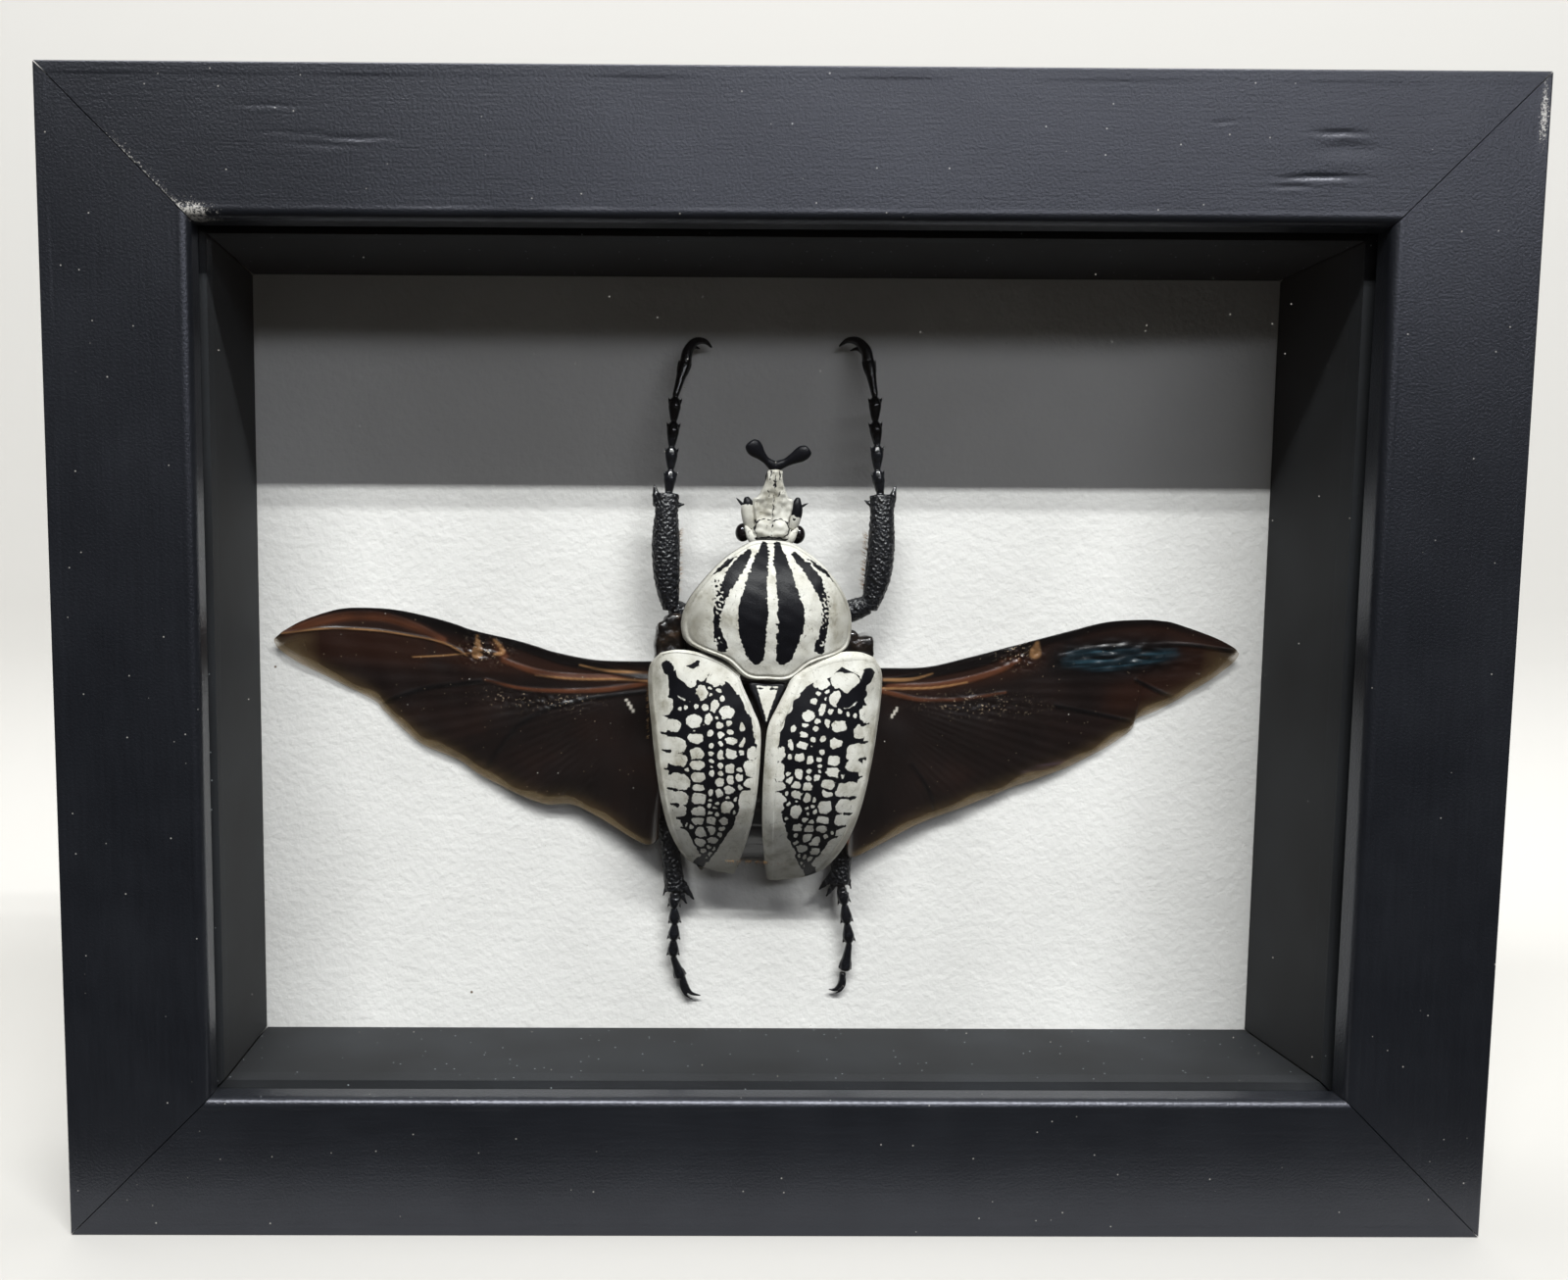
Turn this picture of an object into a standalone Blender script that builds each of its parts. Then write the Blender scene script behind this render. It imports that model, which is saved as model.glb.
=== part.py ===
# A male goliath beetle, wings spread, mounted in a small black shadow box frame.
# Metres, +Z up. The frame stands on its bottom rail and its front faces -Y.
# The origin is the middle of the frame's underside.

from math import cos, pi, radians, sin

import bmesh
import bpy
from mathutils import Matrix, Vector

MM = 0.001
GAP = 0.3 * MM                   # left between pieces that touch
MITRE_CUT = 0.7 * GAP            # off each mitred end, which leaves GAP across the joint

# Frame: four mitred rails of one moulding, 10 by 8 inches outside
FRAME_WIDTH = 254.0 * MM
FRAME_HEIGHT = 203.2 * MM
FRAME_DEPTH = 46.0 * MM
RAIL_FACE = 25.4 * MM
EDGE_ROUND = 1.2 * MM
LIP_DEPTH = 4.8 * MM             # thickness of the lip that holds the glass
LIP_WIDTH = 6.0 * MM             # how far the lip stands in front of the glass

# What lies in the rebate, front to back
GLASS_THICKNESS = 2.0 * MM
GLASS_EDGE = 0.2 * MM            # ground edge
CARD_DEPTH = 37.5 * MM           # from the frame's front to the card's face
CARD_THICKNESS = 0.8 * MM
BOARD_THICKNESS = 3.0 * MM
BOARD_EDGE = 0.3 * MM
SPACER_PROUD = 0.6 * MM          # how far the spacers stand into the opening
REBATE_PLAY = 0.3 * MM           # all round the pieces in the rebate
TAB_LENGTH = 16.0 * MM
TAB_WIDTH = 6.0 * MM
TAB_THICKNESS = 0.5 * MM
TAB_OUTLINE = [(-0.5, 0.0), (0.5, 0.0), (0.5, 0.55), (0.18, 1.0), (-0.18, 1.0), (-0.5, 0.55)]
TABS_APART_WIDE = 0.5            # from a rail's middle to its tabs, as a share of the
TABS_APART_HIGH = 0.45           # rebate's half width or half height

# Beetle: its own axes have X across, Z towards the head and -Y away from the card
BEETLE_X = -1.2 * MM
BEETLE_Z = 100.0 * MM
BEETLE_LEAN = radians(2.0)       # the head leans to the right

FRONT_Y = -FRAME_DEPTH / 2
OPENING_WIDTH = FRAME_WIDTH - 2 * RAIL_FACE
OPENING_HEIGHT = FRAME_HEIGHT - 2 * RAIL_FACE
REBATE_WIDTH = OPENING_WIDTH + 2 * LIP_WIDTH
REBATE_HEIGHT = OPENING_HEIGHT + 2 * LIP_WIDTH
CARD_Y = FRONT_Y + CARD_DEPTH
BOARD_Y = CARD_Y + CARD_THICKNESS + GAP
TAB_Y = BOARD_Y + BOARD_THICKNESS + GAP

# Beetle forms in millimetres: (across, along) or (across, off the card, along)
PRONOTUM_HALF = [(0, 25.4), (3.4, 25.2), (6.2, 24.0), (9.4, 22.0), (12.5, 19.0), (15.2, 15.0),
                 (16.4, 11.2), (16.4, 8.2), (15.6, 5.9), (13.0, 4.7), (8.0, 2.9), (4.0, -0.5), (0, -0.7)]
HEAD_HALF = [(0, 25.9), (3.4, 25.9), (4.6, 26.4), (3.6, 28.6), (4.6, 30.4), (4.9, 32.2), (4.2, 33.6),
             (3.1, 34.6), (2.4, 36.2), (1.8, 38.2), (0, 38.8)]
SCUTELLUM_HALF = [(0, -1.3), (3.4, -1.3), (1.8, -5.2), (0.35, -8.8), (0, -9.0)]

ELYTRON_BASE = [(5.2, -0.4), (8.5, 2.3), (13.0, 3.9), (17.0, 4.2), (20.0, 3.4)]
ELYTRON_SUTURE = [(5.2, -0.4), (4.3, -2.5), (2.6, -6.0), (1.1, -9.5), (0.8, -14.0),
                  (0.9, -22.0), (1.5, -29.0), (2.5, -34.5), (3.6, -39.3)]
ELYTRON_SIDE = [(20.0, 3.4), (21.9, 0.6), (21.9, -4.5), (21.2, -10.0), (20.2, -17.0),
                (18.5, -25.5), (16.2, -32.0), (12.9, -36.6), (9.0, -38.4)]
ELYTRON_APEX = [(3.6, -39.3), (6.3, -39.0), (9.0, -38.4)]
ELYTRON_THICKNESS = 1.1

# Height of the back along the midline: (along, off the card)
PRONOTUM_RIDGE = [(-1.0, 21.2), (5.0, 23.2), (12.0, 24.2), (19.0, 22.3), (26.0, 17.0)]
ELYTRON_RIDGE = [(-40.0, 12.2), (-33.0, 16.6), (-25.0, 20.4), (-15.0, 22.6), (-6.0, 22.4), (4.0, 20.4)]
BACK_SIDE = 11.2                 # height of the back's side margins
PRONOTUM_ARCH = 17.2             # how far out the arch of the back meets them
ELYTRON_ARCH = 22.6
ARCH_FLATNESS = 2.8              # a higher power keeps the middle of the back flatter
ARCH_FALL = 0.62
APEX_SINK = 7.0                  # how far the wing cases' tips bend down to the card
APEX_SINK_FROM = -18.0           # where that bend starts and ends
APEX_SINK_TO = -39.0

# Outlines were read off the photo at the height of the wing roots. Where a piece sinks towards the
# card they spread away from the point of the card that faces the camera.
FACING_CAMERA = (-28.7, 15.6)    # across and along
CAMERA_DISTANCE = 255.0

# Mid and hind body: (along, half width, lowest, highest)
TRUNK_STATIONS = [(-1.9, 11.5, 2.0, 15.0), (-4.0, 15.2, 0.8, 17.2), (-9.0, 16.6, 0.3, 18.2),
                  (-16.0, 16.8, 0.3, 18.2), (-24.0, 15.4, 0.5, 15.9), (-31.0, 12.4, 0.8, 10.6),
                  (-35.5, 8.6, 1.2, 5.8), (-38.0, 4.6, 1.4, 3.0)]
TRUNK_SIDES = 20
TRUNK_ROUNDNESS = 0.8            # 1 is an oval section, less is boxier

# Growths of the right side, mirrored for the left: (centre, radii)
FLANK = ((14.8, 5.4, 1.0), (3.2, 4.4, 6.4))
SHOULDER = ((17.9, 9.3, 5.5), (3.5, 2.9, 3.5))
EYE = ((5.1, 12.6, 26.9), (1.5, 1.6, 1.45))
SIDE_POINT = ((4.2, 14.0, 31.8), (6.3, 14.4, 33.4), 0.9)   # root, tip, radius

# Horn: (across, off the card, along, half width, half thickness)
HORN_SHAFT = [(0, 14.6, 34.4, 3.0, 1.3), (0, 15.4, 36.8, 2.0, 1.3), (0, 16.0, 38.6, 1.6, 1.2),
              (0, 16.5, 40.0, 1.2, 0.9)]
HORN_ARM = [(-0.6, 16.2, 38.9, 0.8, 0.8), (1.7, 16.6, 40.0, 1.0, 0.9), (3.2, 17.2, 41.0, 1.0, 0.8),
            (4.3, 17.6, 42.0, 1.5, 0.9), (5.1, 17.9, 42.8, 1.3, 0.8), (5.6, 18.0, 43.2, 0.6, 0.4)]

WING_LEVEL = 8.5                 # height of the wings at their roots
WING_DIP = 1.4                   # how far they sink halfway out
WING_DROOP = 1.4                 # how far the trailing edge hangs below the leading one
WING_SINK = 6.6                  # how far the tips lie below the roots
WING_SINK_FROM = 0.2             # share of the span where they start to sink, and where they end
WING_SINK_TO = 0.95
WING_THICKNESS = 0.4
VEIN_THICKNESS = 0.9             # more at the root of the leading vein
VEIN_WIDTH = 0.3                 # share of the wing's breadth
WING_STEPS = 5                   # faces across the wing's breadth
ELYTRON_COLUMNS = 9
ELYTRON_ROWS = 14

# Hind wings: (leading edge across, along, trailing edge across, along), root to tip
LEFT_WING = [(-17.8, 1.5, -18.6, -33.8), (-21.5, 1.4, -21.2, -35.0), (-31.7, 1.2, -30.5, -30.0),
             (-39.8, 2.3, -36.0, -27.7), (-44.0, 3.4, -41.1, -27.9), (-48.0, 4.4, -47.0, -26.0),
             (-56.3, 6.0, -54.3, -22.6), (-60.0, 7.1, -58.6, -19.8), (-64.4, 8.2, -66.4, -16.6),
             (-71.3, 9.4, -73.2, -10.9), (-77.8, 9.6, -75.4, -8.6), (-83.1, 9.0, -82.8, -5.0),
             (-89.6, 6.6, -89.8, -1.8), (-93.4, 4.2, -93.6, 0.6), (-94.9, 2.8, -94.9, 2.2)]
RIGHT_WING = [(17.8, 1.7, 18.8, -34.6), (24.2, 1.9, 21.0, -35.8), (32.4, 2.4, 31.6, -29.6),
              (40.4, 4.5, 37.5, -27.0), (48.4, 6.9, 46.5, -23.2), (53.7, 8.5, 52.5, -20.5),
              (61.6, 10.9, 60.9, -17.1), (66.0, 12.2, 65.7, -14.5), (69.8, 12.9, 70.4, -11.6),
              (75.1, 13.3, 74.0, -8.6), (78.0, 13.2, 74.9, -6.2), (80.6, 12.8, 79.2, -4.1),
              (87.7, 10.6, 87.8, 1.7), (91.7, 8.8, 92.0, 5.2), (93.2, 7.6, 93.2, 7.0)]

# Legs: (across, off the card, along, half width, half thickness), body to claw
LEFT_FORELEG = [(-13.4, 6.0, 10.6, 1.2, 1.2), (-16.0, 6.6, 11.2, 1.8, 1.7), (-18.2, 7.2, 12.0, 1.4, 1.4),
                (-18.6, 7.6, 14.6, 2.0, 1.6), (-19.2, 8.0, 18.8, 2.6, 1.9), (-19.6, 8.2, 25.0, 2.7, 1.9),
                (-19.7, 8.2, 30.5, 2.2, 1.7), (-19.7, 8.0, 33.6, 2.4, 1.5), (-19.3, 7.8, 34.6, 1.1, 0.9),
                (-19.2, 7.6, 38.3, 1.3, 1.0), (-19.2, 7.5, 38.9, 0.8, 0.7), (-19.2, 7.3, 42.7, 1.2, 1.0),
                (-19.2, 7.2, 43.3, 0.8, 0.7), (-19.0, 7.0, 47.6, 1.2, 1.0), (-19.0, 6.9, 48.2, 0.8, 0.7),
                (-18.9, 6.6, 52.2, 1.2, 1.0), (-18.7, 6.4, 53.0, 0.65, 0.6), (-18.0, 5.8, 56.0, 0.8, 0.7),
                (-17.1, 5.0, 59.6, 1.2, 1.0)]
RIGHT_FORELEG = [(13.2, 6.0, 10.4, 1.3, 1.3), (17.6, 6.6, 12.6, 2.0, 1.8), (20.8, 7.2, 14.0, 1.6, 1.5),
                 (21.4, 7.6, 16.2, 2.0, 1.6), (22.0, 8.0, 20.4, 2.6, 1.9), (22.2, 8.2, 26.0, 2.6, 1.9),
                 (22.0, 8.2, 31.5, 2.3, 1.7), (21.8, 8.0, 35.0, 2.3, 1.5), (21.6, 7.8, 36.0, 1.1, 0.9),
                 (20.7, 7.6, 39.9, 1.3, 1.0), (20.6, 7.5, 40.5, 0.8, 0.7), (20.5, 7.3, 44.6, 1.2, 1.0),
                 (20.4, 7.2, 45.2, 0.8, 0.7), (19.9, 7.0, 49.2, 1.2, 1.0), (19.9, 6.9, 49.8, 0.8, 0.7),
                 (19.7, 6.6, 53.8, 1.2, 1.0), (19.6, 6.4, 54.6, 0.65, 0.6), (19.1, 5.8, 57.8, 0.8, 0.7),
                 (18.3, 5.0, 61.2, 1.2, 1.0)]
LEFT_MIDLEG = [(-18.4, 3.4, -5.0, 1.4, 1.3), (-23.0, 3.6, -4.0, 1.9, 1.7), (-28.0, 3.4, -4.6, 1.3, 1.2),
               (-30.0, 3.2, -8.0, 1.6, 1.3), (-33.0, 2.8, -16.0, 1.9, 1.5), (-34.0, 2.4, -18.6, 0.8, 0.8),
               (-35.4, 2.0, -21.0, 0.6, 0.6), (-36.4, 1.6, -23.2, 0.9, 0.8)]
LEFT_HINDLEG = [(-18.0, 3.6, -13.0, 1.4, 1.4), (-19.8, 3.8, -17.0, 2.0, 1.8), (-19.6, 4.0, -21.0, 1.5, 1.5),
                (-18.4, 3.8, -26.0, 1.8, 1.4), (-16.4, 3.5, -34.0, 1.8, 1.4), (-15.0, 3.5, -42.0, 2.0, 1.5),
                (-14.6, 3.6, -44.6, 2.1, 1.4), (-14.5, 3.6, -45.6, 1.0, 0.9), (-14.6, 3.4, -48.4, 1.3, 1.0),
                (-14.5, 3.3, -49.0, 0.8, 0.7), (-14.3, 3.0, -51.8, 1.2, 1.0), (-14.2, 2.9, -52.4, 0.8, 0.7),
                (-14.4, 2.6, -55.2, 1.2, 1.0), (-14.4, 2.5, -55.8, 0.8, 0.7), (-14.4, 2.2, -58.6, 1.2, 1.0),
                (-14.0, 2.1, -59.4, 0.65, 0.6), (-12.8, 1.8, -62.2, 0.8, 0.7), (-11.6, 1.6, -64.6, 1.1, 0.9)]
RIGHT_HINDLEG = [(18.0, 3.6, -13.0, 1.4, 1.4), (20.2, 3.8, -17.0, 2.0, 1.8), (20.4, 4.0, -21.0, 1.5, 1.5),
                 (20.0, 3.8, -26.0, 1.8, 1.4), (19.3, 3.5, -33.0, 1.8, 1.4), (18.7, 3.5, -39.0, 2.0, 1.5),
                 (18.6, 3.6, -42.0, 2.1, 1.4), (19.0, 3.6, -43.0, 1.0, 0.9), (19.8, 3.4, -46.4, 1.3, 1.0),
                 (19.9, 3.3, -47.0, 0.8, 0.7), (20.6, 3.0, -50.4, 1.2, 1.0), (20.7, 2.9, -51.0, 0.8, 0.7),
                 (21.4, 2.6, -54.4, 1.2, 1.0), (21.4, 2.4, -55.2, 0.65, 0.6), (21.2, 2.0, -58.6, 0.8, 0.7),
                 (20.6, 1.7, -61.6, 1.1, 0.9)]


def clear_scene():
    for thing in list(bpy.data.objects):
        bpy.data.objects.remove(thing, do_unlink=True)


def finish(name, colour, roughness, metallic=0.0, transmission=0.0):
    material = bpy.data.materials.new(name)
    material.use_nodes = True
    shader = material.node_tree.nodes["Principled BSDF"]
    shader.inputs["Base Color"].default_value = (*colour, 1.0)
    shader.inputs["Roughness"].default_value = roughness
    shader.inputs["Metallic"].default_value = metallic
    shader.inputs["Transmission Weight"].default_value = transmission
    material.diffuse_color = (*colour, 1.0)
    return material


def add_object(name, mesh_tool, material, parent=None, smooth_angle=None):
    bmesh.ops.recalc_face_normals(mesh_tool, faces=mesh_tool.faces)
    mesh = bpy.data.meshes.new(name)
    mesh_tool.to_mesh(mesh)
    mesh_tool.free()
    mesh.materials.append(material)
    if smooth_angle is not None:
        mesh.shade_smooth()
        mesh.set_sharp_from_angle(angle=radians(smooth_angle))
    made = bpy.data.objects.new(name, mesh)
    made.parent = parent
    bpy.context.collection.objects.link(made)
    return made


def add_slab(name, size, centre, material, edge=0.0):
    tool = bmesh.new()
    bmesh.ops.create_cube(tool, size=1.0, matrix=Matrix.Diagonal((*size, 1.0)))
    if edge > 0:
        bmesh.ops.bevel(tool, geom=tool.edges[:], offset=edge, segments=1, affect="EDGES")
    slab = add_object(name, tool, material)
    slab.location = centre
    return slab


# Frame

def arc(centre_u, centre_d, radius, start, end, segments=4):
    turns = [radians(start + (end - start) * step / segments) for step in range(segments + 1)]
    return [(centre_u + radius * cos(turn), centre_d + radius * sin(turn)) for turn in turns]


def rail_profile():
    # (distance in from the rail's outer side, depth behind the frame's front)
    outer = arc(EDGE_ROUND, EDGE_ROUND, EDGE_ROUND, 180, 270)
    inner = arc(RAIL_FACE - EDGE_ROUND, EDGE_ROUND, EDGE_ROUND, 270, 360)
    lip = [(RAIL_FACE, LIP_DEPTH), (RAIL_FACE - LIP_WIDTH, LIP_DEPTH),
           (RAIL_FACE - LIP_WIDTH, FRAME_DEPTH)]
    return [(0.0, FRAME_DEPTH)] + outer + inner + lip


def add_mitred_strip(name, side, width, height, profile, material, smooth_angle=None):
    # One side of a mitred rectangle of the given outer size, standing centred in the frame
    length = width if side in ("top", "bottom") else height
    tool = bmesh.new()
    loops = []
    for end in (-1, 1):
        loops.append([tool.verts.new((end * (length / 2 - u - MITRE_CUT), FRONT_Y + d, u))
                      for u, d in profile])
    tool.faces.new(loops[0])
    tool.faces.new(loops[1])
    for i in range(len(profile)):
        j = (i + 1) % len(profile)
        tool.faces.new((loops[0][i], loops[0][j], loops[1][j], loops[1][i]))
    strip = add_object(name, tool, material, smooth_angle=smooth_angle)
    middle = FRAME_HEIGHT / 2
    places = {"bottom": ((0, 0, middle - height / 2), 0), "top": ((0, 0, middle + height / 2), 180),
              "left": ((-width / 2, 0, middle), 90), "right": ((width / 2, 0, middle), -90)}
    strip.location = places[side][0]
    strip.rotation_euler = (0, radians(places[side][1]), 0)
    return strip


def add_rails():
    black_wood = finish("black painted wood", (0.018, 0.02, 0.023), 0.5)
    for side in ("bottom", "top", "left", "right"):
        add_mitred_strip("frame_rail_" + side, side, FRAME_WIDTH, FRAME_HEIGHT, rail_profile(),
                         black_wood, smooth_angle=30)


def add_spacers():
    black_board = finish("black spacer board", (0.02, 0.021, 0.023), 0.7)
    width = REBATE_WIDTH - 2 * REBATE_PLAY
    height = REBATE_HEIGHT - 2 * REBATE_PLAY
    front = LIP_DEPTH + GAP + GLASS_THICKNESS + GAP
    thickness = LIP_WIDTH - REBATE_PLAY + SPACER_PROUD
    profile = [(0, front), (thickness, front), (thickness, CARD_DEPTH - GAP), (0, CARD_DEPTH - GAP)]
    for side in ("bottom", "top", "left", "right"):
        add_mitred_strip("spacer_" + side, side, width, height, profile, black_board)


def add_sheets():
    width = REBATE_WIDTH - 2 * REBATE_PLAY
    height = REBATE_HEIGHT - 2 * REBATE_PLAY
    middle = FRAME_HEIGHT / 2
    glass = finish("clear glass", (1.0, 1.0, 1.0), 0.02, transmission=1.0)
    glass_y = FRONT_Y + LIP_DEPTH + GAP + GLASS_THICKNESS / 2
    add_slab("glass_pane", (width, GLASS_THICKNESS, height), (0, glass_y, middle), glass, GLASS_EDGE)
    paper = finish("white cold pressed card", (0.8, 0.8, 0.79), 0.9)
    card_y = CARD_Y + CARD_THICKNESS / 2
    add_slab("backing_card", (width, CARD_THICKNESS, height), (0, card_y, middle), paper)
    hardboard = finish("brown hardboard", (0.2, 0.12, 0.07), 0.75)
    board_y = BOARD_Y + BOARD_THICKNESS / 2
    add_slab("back_board", (width, BOARD_THICKNESS, height), (0, board_y, middle), hardboard,
             BOARD_EDGE)


def add_tabs():
    # Flat steel points along the rebate that keep the back board in
    steel = finish("zinc plated steel", (0.55, 0.55, 0.53), 0.35, metallic=1.0)
    half_w = REBATE_WIDTH / 2 - REBATE_PLAY
    half_h = REBATE_HEIGHT / 2 - REBATE_PLAY
    places = [("bottom", s * TABS_APART_WIDE * half_w, -half_h, 0) for s in (-1, 1)]
    places += [("top", s * TABS_APART_WIDE * half_w, half_h, 180) for s in (-1, 1)]
    places += [("left", -half_w, s * TABS_APART_HIGH * half_h, 90) for s in (-1, 1)]
    places += [("right", half_w, s * TABS_APART_HIGH * half_h, -90) for s in (-1, 1)]
    for index, (side, x, z, turn) in enumerate(places):
        tool = bmesh.new()
        corners = [tool.verts.new((u * TAB_WIDTH, 0, v * TAB_LENGTH)) for u, v in TAB_OUTLINE]
        face = tool.faces.new(corners)
        pulled = bmesh.ops.extrude_face_region(tool, geom=[face])
        moved = [item for item in pulled["geom"] if isinstance(item, bmesh.types.BMVert)]
        bmesh.ops.translate(tool, verts=moved, vec=(0, TAB_THICKNESS, 0))
        tab = add_object("retaining_tab_%s_%d" % (side, index % 2 + 1), tool, steel)
        tab.location = (x, TAB_Y, FRAME_HEIGHT / 2 + z)
        tab.rotation_euler = (0, radians(turn), 0)


# Beetle

def spot(across, off, along):
    # A place on the beetle from millimetres across, off the card and along the body
    return Vector((across, -off, along)) * MM


def blend_along(points, part):
    # Smooth curve through the points, part from 0 to 1 by point count (Catmull-Rom)
    place = part * (len(points) - 1)
    i = min(int(place), len(points) - 2)
    t = place - i
    a, b, c, d = (Vector(points[max(0, min(len(points) - 1, i + k))]) for k in (-1, 0, 1, 2))
    return 0.5 * (2 * b + (c - a) * t + (2 * a - 5 * b + 4 * c - d) * t * t
                  + (3 * b - a - 3 * c + d) * t ** 3)


def ridge_height(ridge, along):
    if along <= ridge[0][0]:
        return ridge[0][1]
    for (v0, h0), (v1, h1) in zip(ridge, ridge[1:]):
        if along <= v1:
            t = (along - v0) / (v1 - v0)
            return h0 + (h1 - h0) * t
    return ridge[-1][1]


def back_height(across, along, ridge, half_width):
    # The back is an arch over the midline that falls to its side margins
    arch = max(0.0, 1.0 - (abs(across) / half_width) ** ARCH_FLATNESS) ** ARCH_FALL
    return BACK_SIDE + (ridge_height(ridge, along) - BACK_SIDE) * arch


def join_rings(tool, rings):
    # Skins a row of rings and closes both ends at their middles
    made = [[tool.verts.new(point) for point in ring] for ring in rings]
    count = len(rings[0])
    for lower, upper in zip(made, made[1:]):
        for i in range(count):
            j = (i + 1) % count
            tool.faces.new((lower[i], lower[j], upper[j], upper[i]))
    for ring, points in ((made[0], rings[0]), (made[-1], rings[-1])):
        middle = tool.verts.new(sum(points, Vector()) / count)
        for i in range(count):
            tool.faces.new((ring[i], ring[(i + 1) % count], middle))


def whole_outline(half):
    # Mirrors a half outline that starts and ends on the midline
    return half + [(-u, v) for u, v in reversed(half[1:-1])]


def shield_rings(half, centre_v, layers, height_at):
    # Rings of a plate: each layer is (scale, height above the back or a fixed height, is fixed)
    rings = []
    for scale, level, fixed in layers:
        ring = []
        for u, v in whole_outline(half):
            across = u * scale
            along = centre_v + (v - centre_v) * scale
            ring.append(spot(across, level if fixed else height_at(across, along) + level, along))
        rings.append(ring)
    return rings


def tube_rings(path, sides):
    # Rings of a limb: flattened ovals square to the path, pointed towards the card
    rings = []
    for i, (u, h, v, wide, thick) in enumerate(path):
        before = spot(*path[max(0, i - 1)][:3])
        after = spot(*path[min(len(path) - 1, i + 1)][:3])
        forward = (after - before).normalized()
        across = forward.cross(Vector((0, 1, 0))).normalized()
        up = across.cross(forward).normalized()
        middle = spot(u, h, v)
        rings.append([middle + MM * (across * wide * cos(2 * pi * k / sides)
                                     + up * thick * sin(2 * pi * k / sides)) for k in range(sides)])
    return rings


def add_part(name, rings, material, parent, smooth_angle=50):
    tool = bmesh.new()
    join_rings(tool, rings)
    return add_object(name, tool, material, parent, smooth_angle)


def unite(main, others):
    # Joins growths to the piece that they grow from
    for other in others:
        other.hide_render = True
        other.display_type = "WIRE"
        grown = main.modifiers.new("grown with " + other.name, "BOOLEAN")
        grown.operation = "UNION"
        grown.object = other
    return main


def on_side(path, side):
    # The points as written, or mirrored when side is -1
    return [(side * point[0], *point[1:]) for point in path]


def add_ball(name, centre, radii, material, parent, segments=12, rows=8):
    tool = bmesh.new()
    bmesh.ops.create_uvsphere(tool, u_segments=segments, v_segments=rows, radius=1.0)
    bmesh.ops.scale(tool, verts=tool.verts, vec=Vector((radii[0], radii[1], radii[2])) * MM)
    bmesh.ops.translate(tool, verts=tool.verts, vec=spot(*centre))
    return add_object(name, tool, material, parent, 50)


def add_spike(name, root, tip, radius, material, parent, sides=5):
    # A tooth, spur or claw: root and tip in millimetres, tapering to a point
    bend = [root[k] * 0.45 + tip[k] * 0.55 for k in range(3)]
    tapers = ((root, 1.0), (bend, 0.6), (tip, 0.12))
    path = [(*place, radius * share, radius * share) for place, share in tapers]
    return add_part(name, tube_rings(path, sides), material, parent)


def add_claw(name, points, radius, material, parent):
    count = len(points) - 1
    path = [(*point, radius * (1 - 0.8 * i / count), radius * (1 - 0.8 * i / count))
            for i, point in enumerate(points)]
    return add_part(name, tube_rings(path, 6), material, parent)


def pronotum_height(across, along):
    return back_height(across, along, PRONOTUM_RIDGE, PRONOTUM_ARCH)


def apex_sink(along):
    part = (along - APEX_SINK_FROM) / (APEX_SINK_TO - APEX_SINK_FROM)
    return APEX_SINK * max(0.0, part) ** 2


def elytron_height(across, along):
    return back_height(across, along, ELYTRON_RIDGE, ELYTRON_ARCH) - apex_sink(along)


def spread(across, along, sink):
    # Keeps the outline seen in the photo for a place that lies lower by sink
    share = sink / CAMERA_DISTANCE
    return across + (across - FACING_CAMERA[0]) * share, along + (along - FACING_CAMERA[1]) * share


def add_pronotum(chalk, parent):
    layers = [(0.42, 2.6, True), (0.55, 4.5, True), (0.68, 7.5, True), (0.84, 9.6, True),
              (0.97, -2.4, False), (1.0, -1.5, False), (0.99, -0.7, False), (0.95, -0.2, False),
              (0.84, 0.0, False), (0.68, 0.0, False), (0.48, 0.0, False), (0.24, 0.0, False)]
    rings = shield_rings(PRONOTUM_HALF, 12.0, layers, pronotum_height)
    return add_part("pronotum", rings, chalk, parent, 60)


def add_head(chalk, parent):
    # Head shield with its forked horn, side points and eyes, grown as one
    def level(across, along):
        return 15.4 + 0.1 * (along - 26.0) - 0.03 * across * across

    layers = [(0.6, 8.6, True), (0.88, 10.0, True), (1.0, -2.2, False), (1.0, -0.8, False),
              (0.9, 0.1, False), (0.55, 0.5, False)]
    head = add_part("head_with_horn", shield_rings(HEAD_HALF, 31.0, layers, level), chalk, parent)
    grown = [add_part("horn_shaft", tube_rings(HORN_SHAFT, 10), chalk, parent)]
    root, tip, radius = SIDE_POINT
    for side, hand in ((-1, "left"), (1, "right")):
        arm = on_side(HORN_ARM, side)
        grown.append(add_part("horn_fork_" + hand, tube_rings(arm, 8), chalk, parent))
        grown.append(add_ball("eye_" + hand, on_side([EYE[0]], side)[0], EYE[1], chalk, parent))
        ends = on_side([root, tip], side)
        grown.append(add_spike("side_point_" + hand, *ends, radius, chalk, parent))
    return unite(head, grown)


def add_scutellum(chalk, parent):
    layers = [(0.9, -2.6, False), (1.0, -2.2, False), (1.0, -1.0, False), (0.85, -0.7, False)]
    return add_part("scutellum", shield_rings(SCUTELLUM_HALF, -3.8, layers, elytron_height), chalk, parent)


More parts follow.
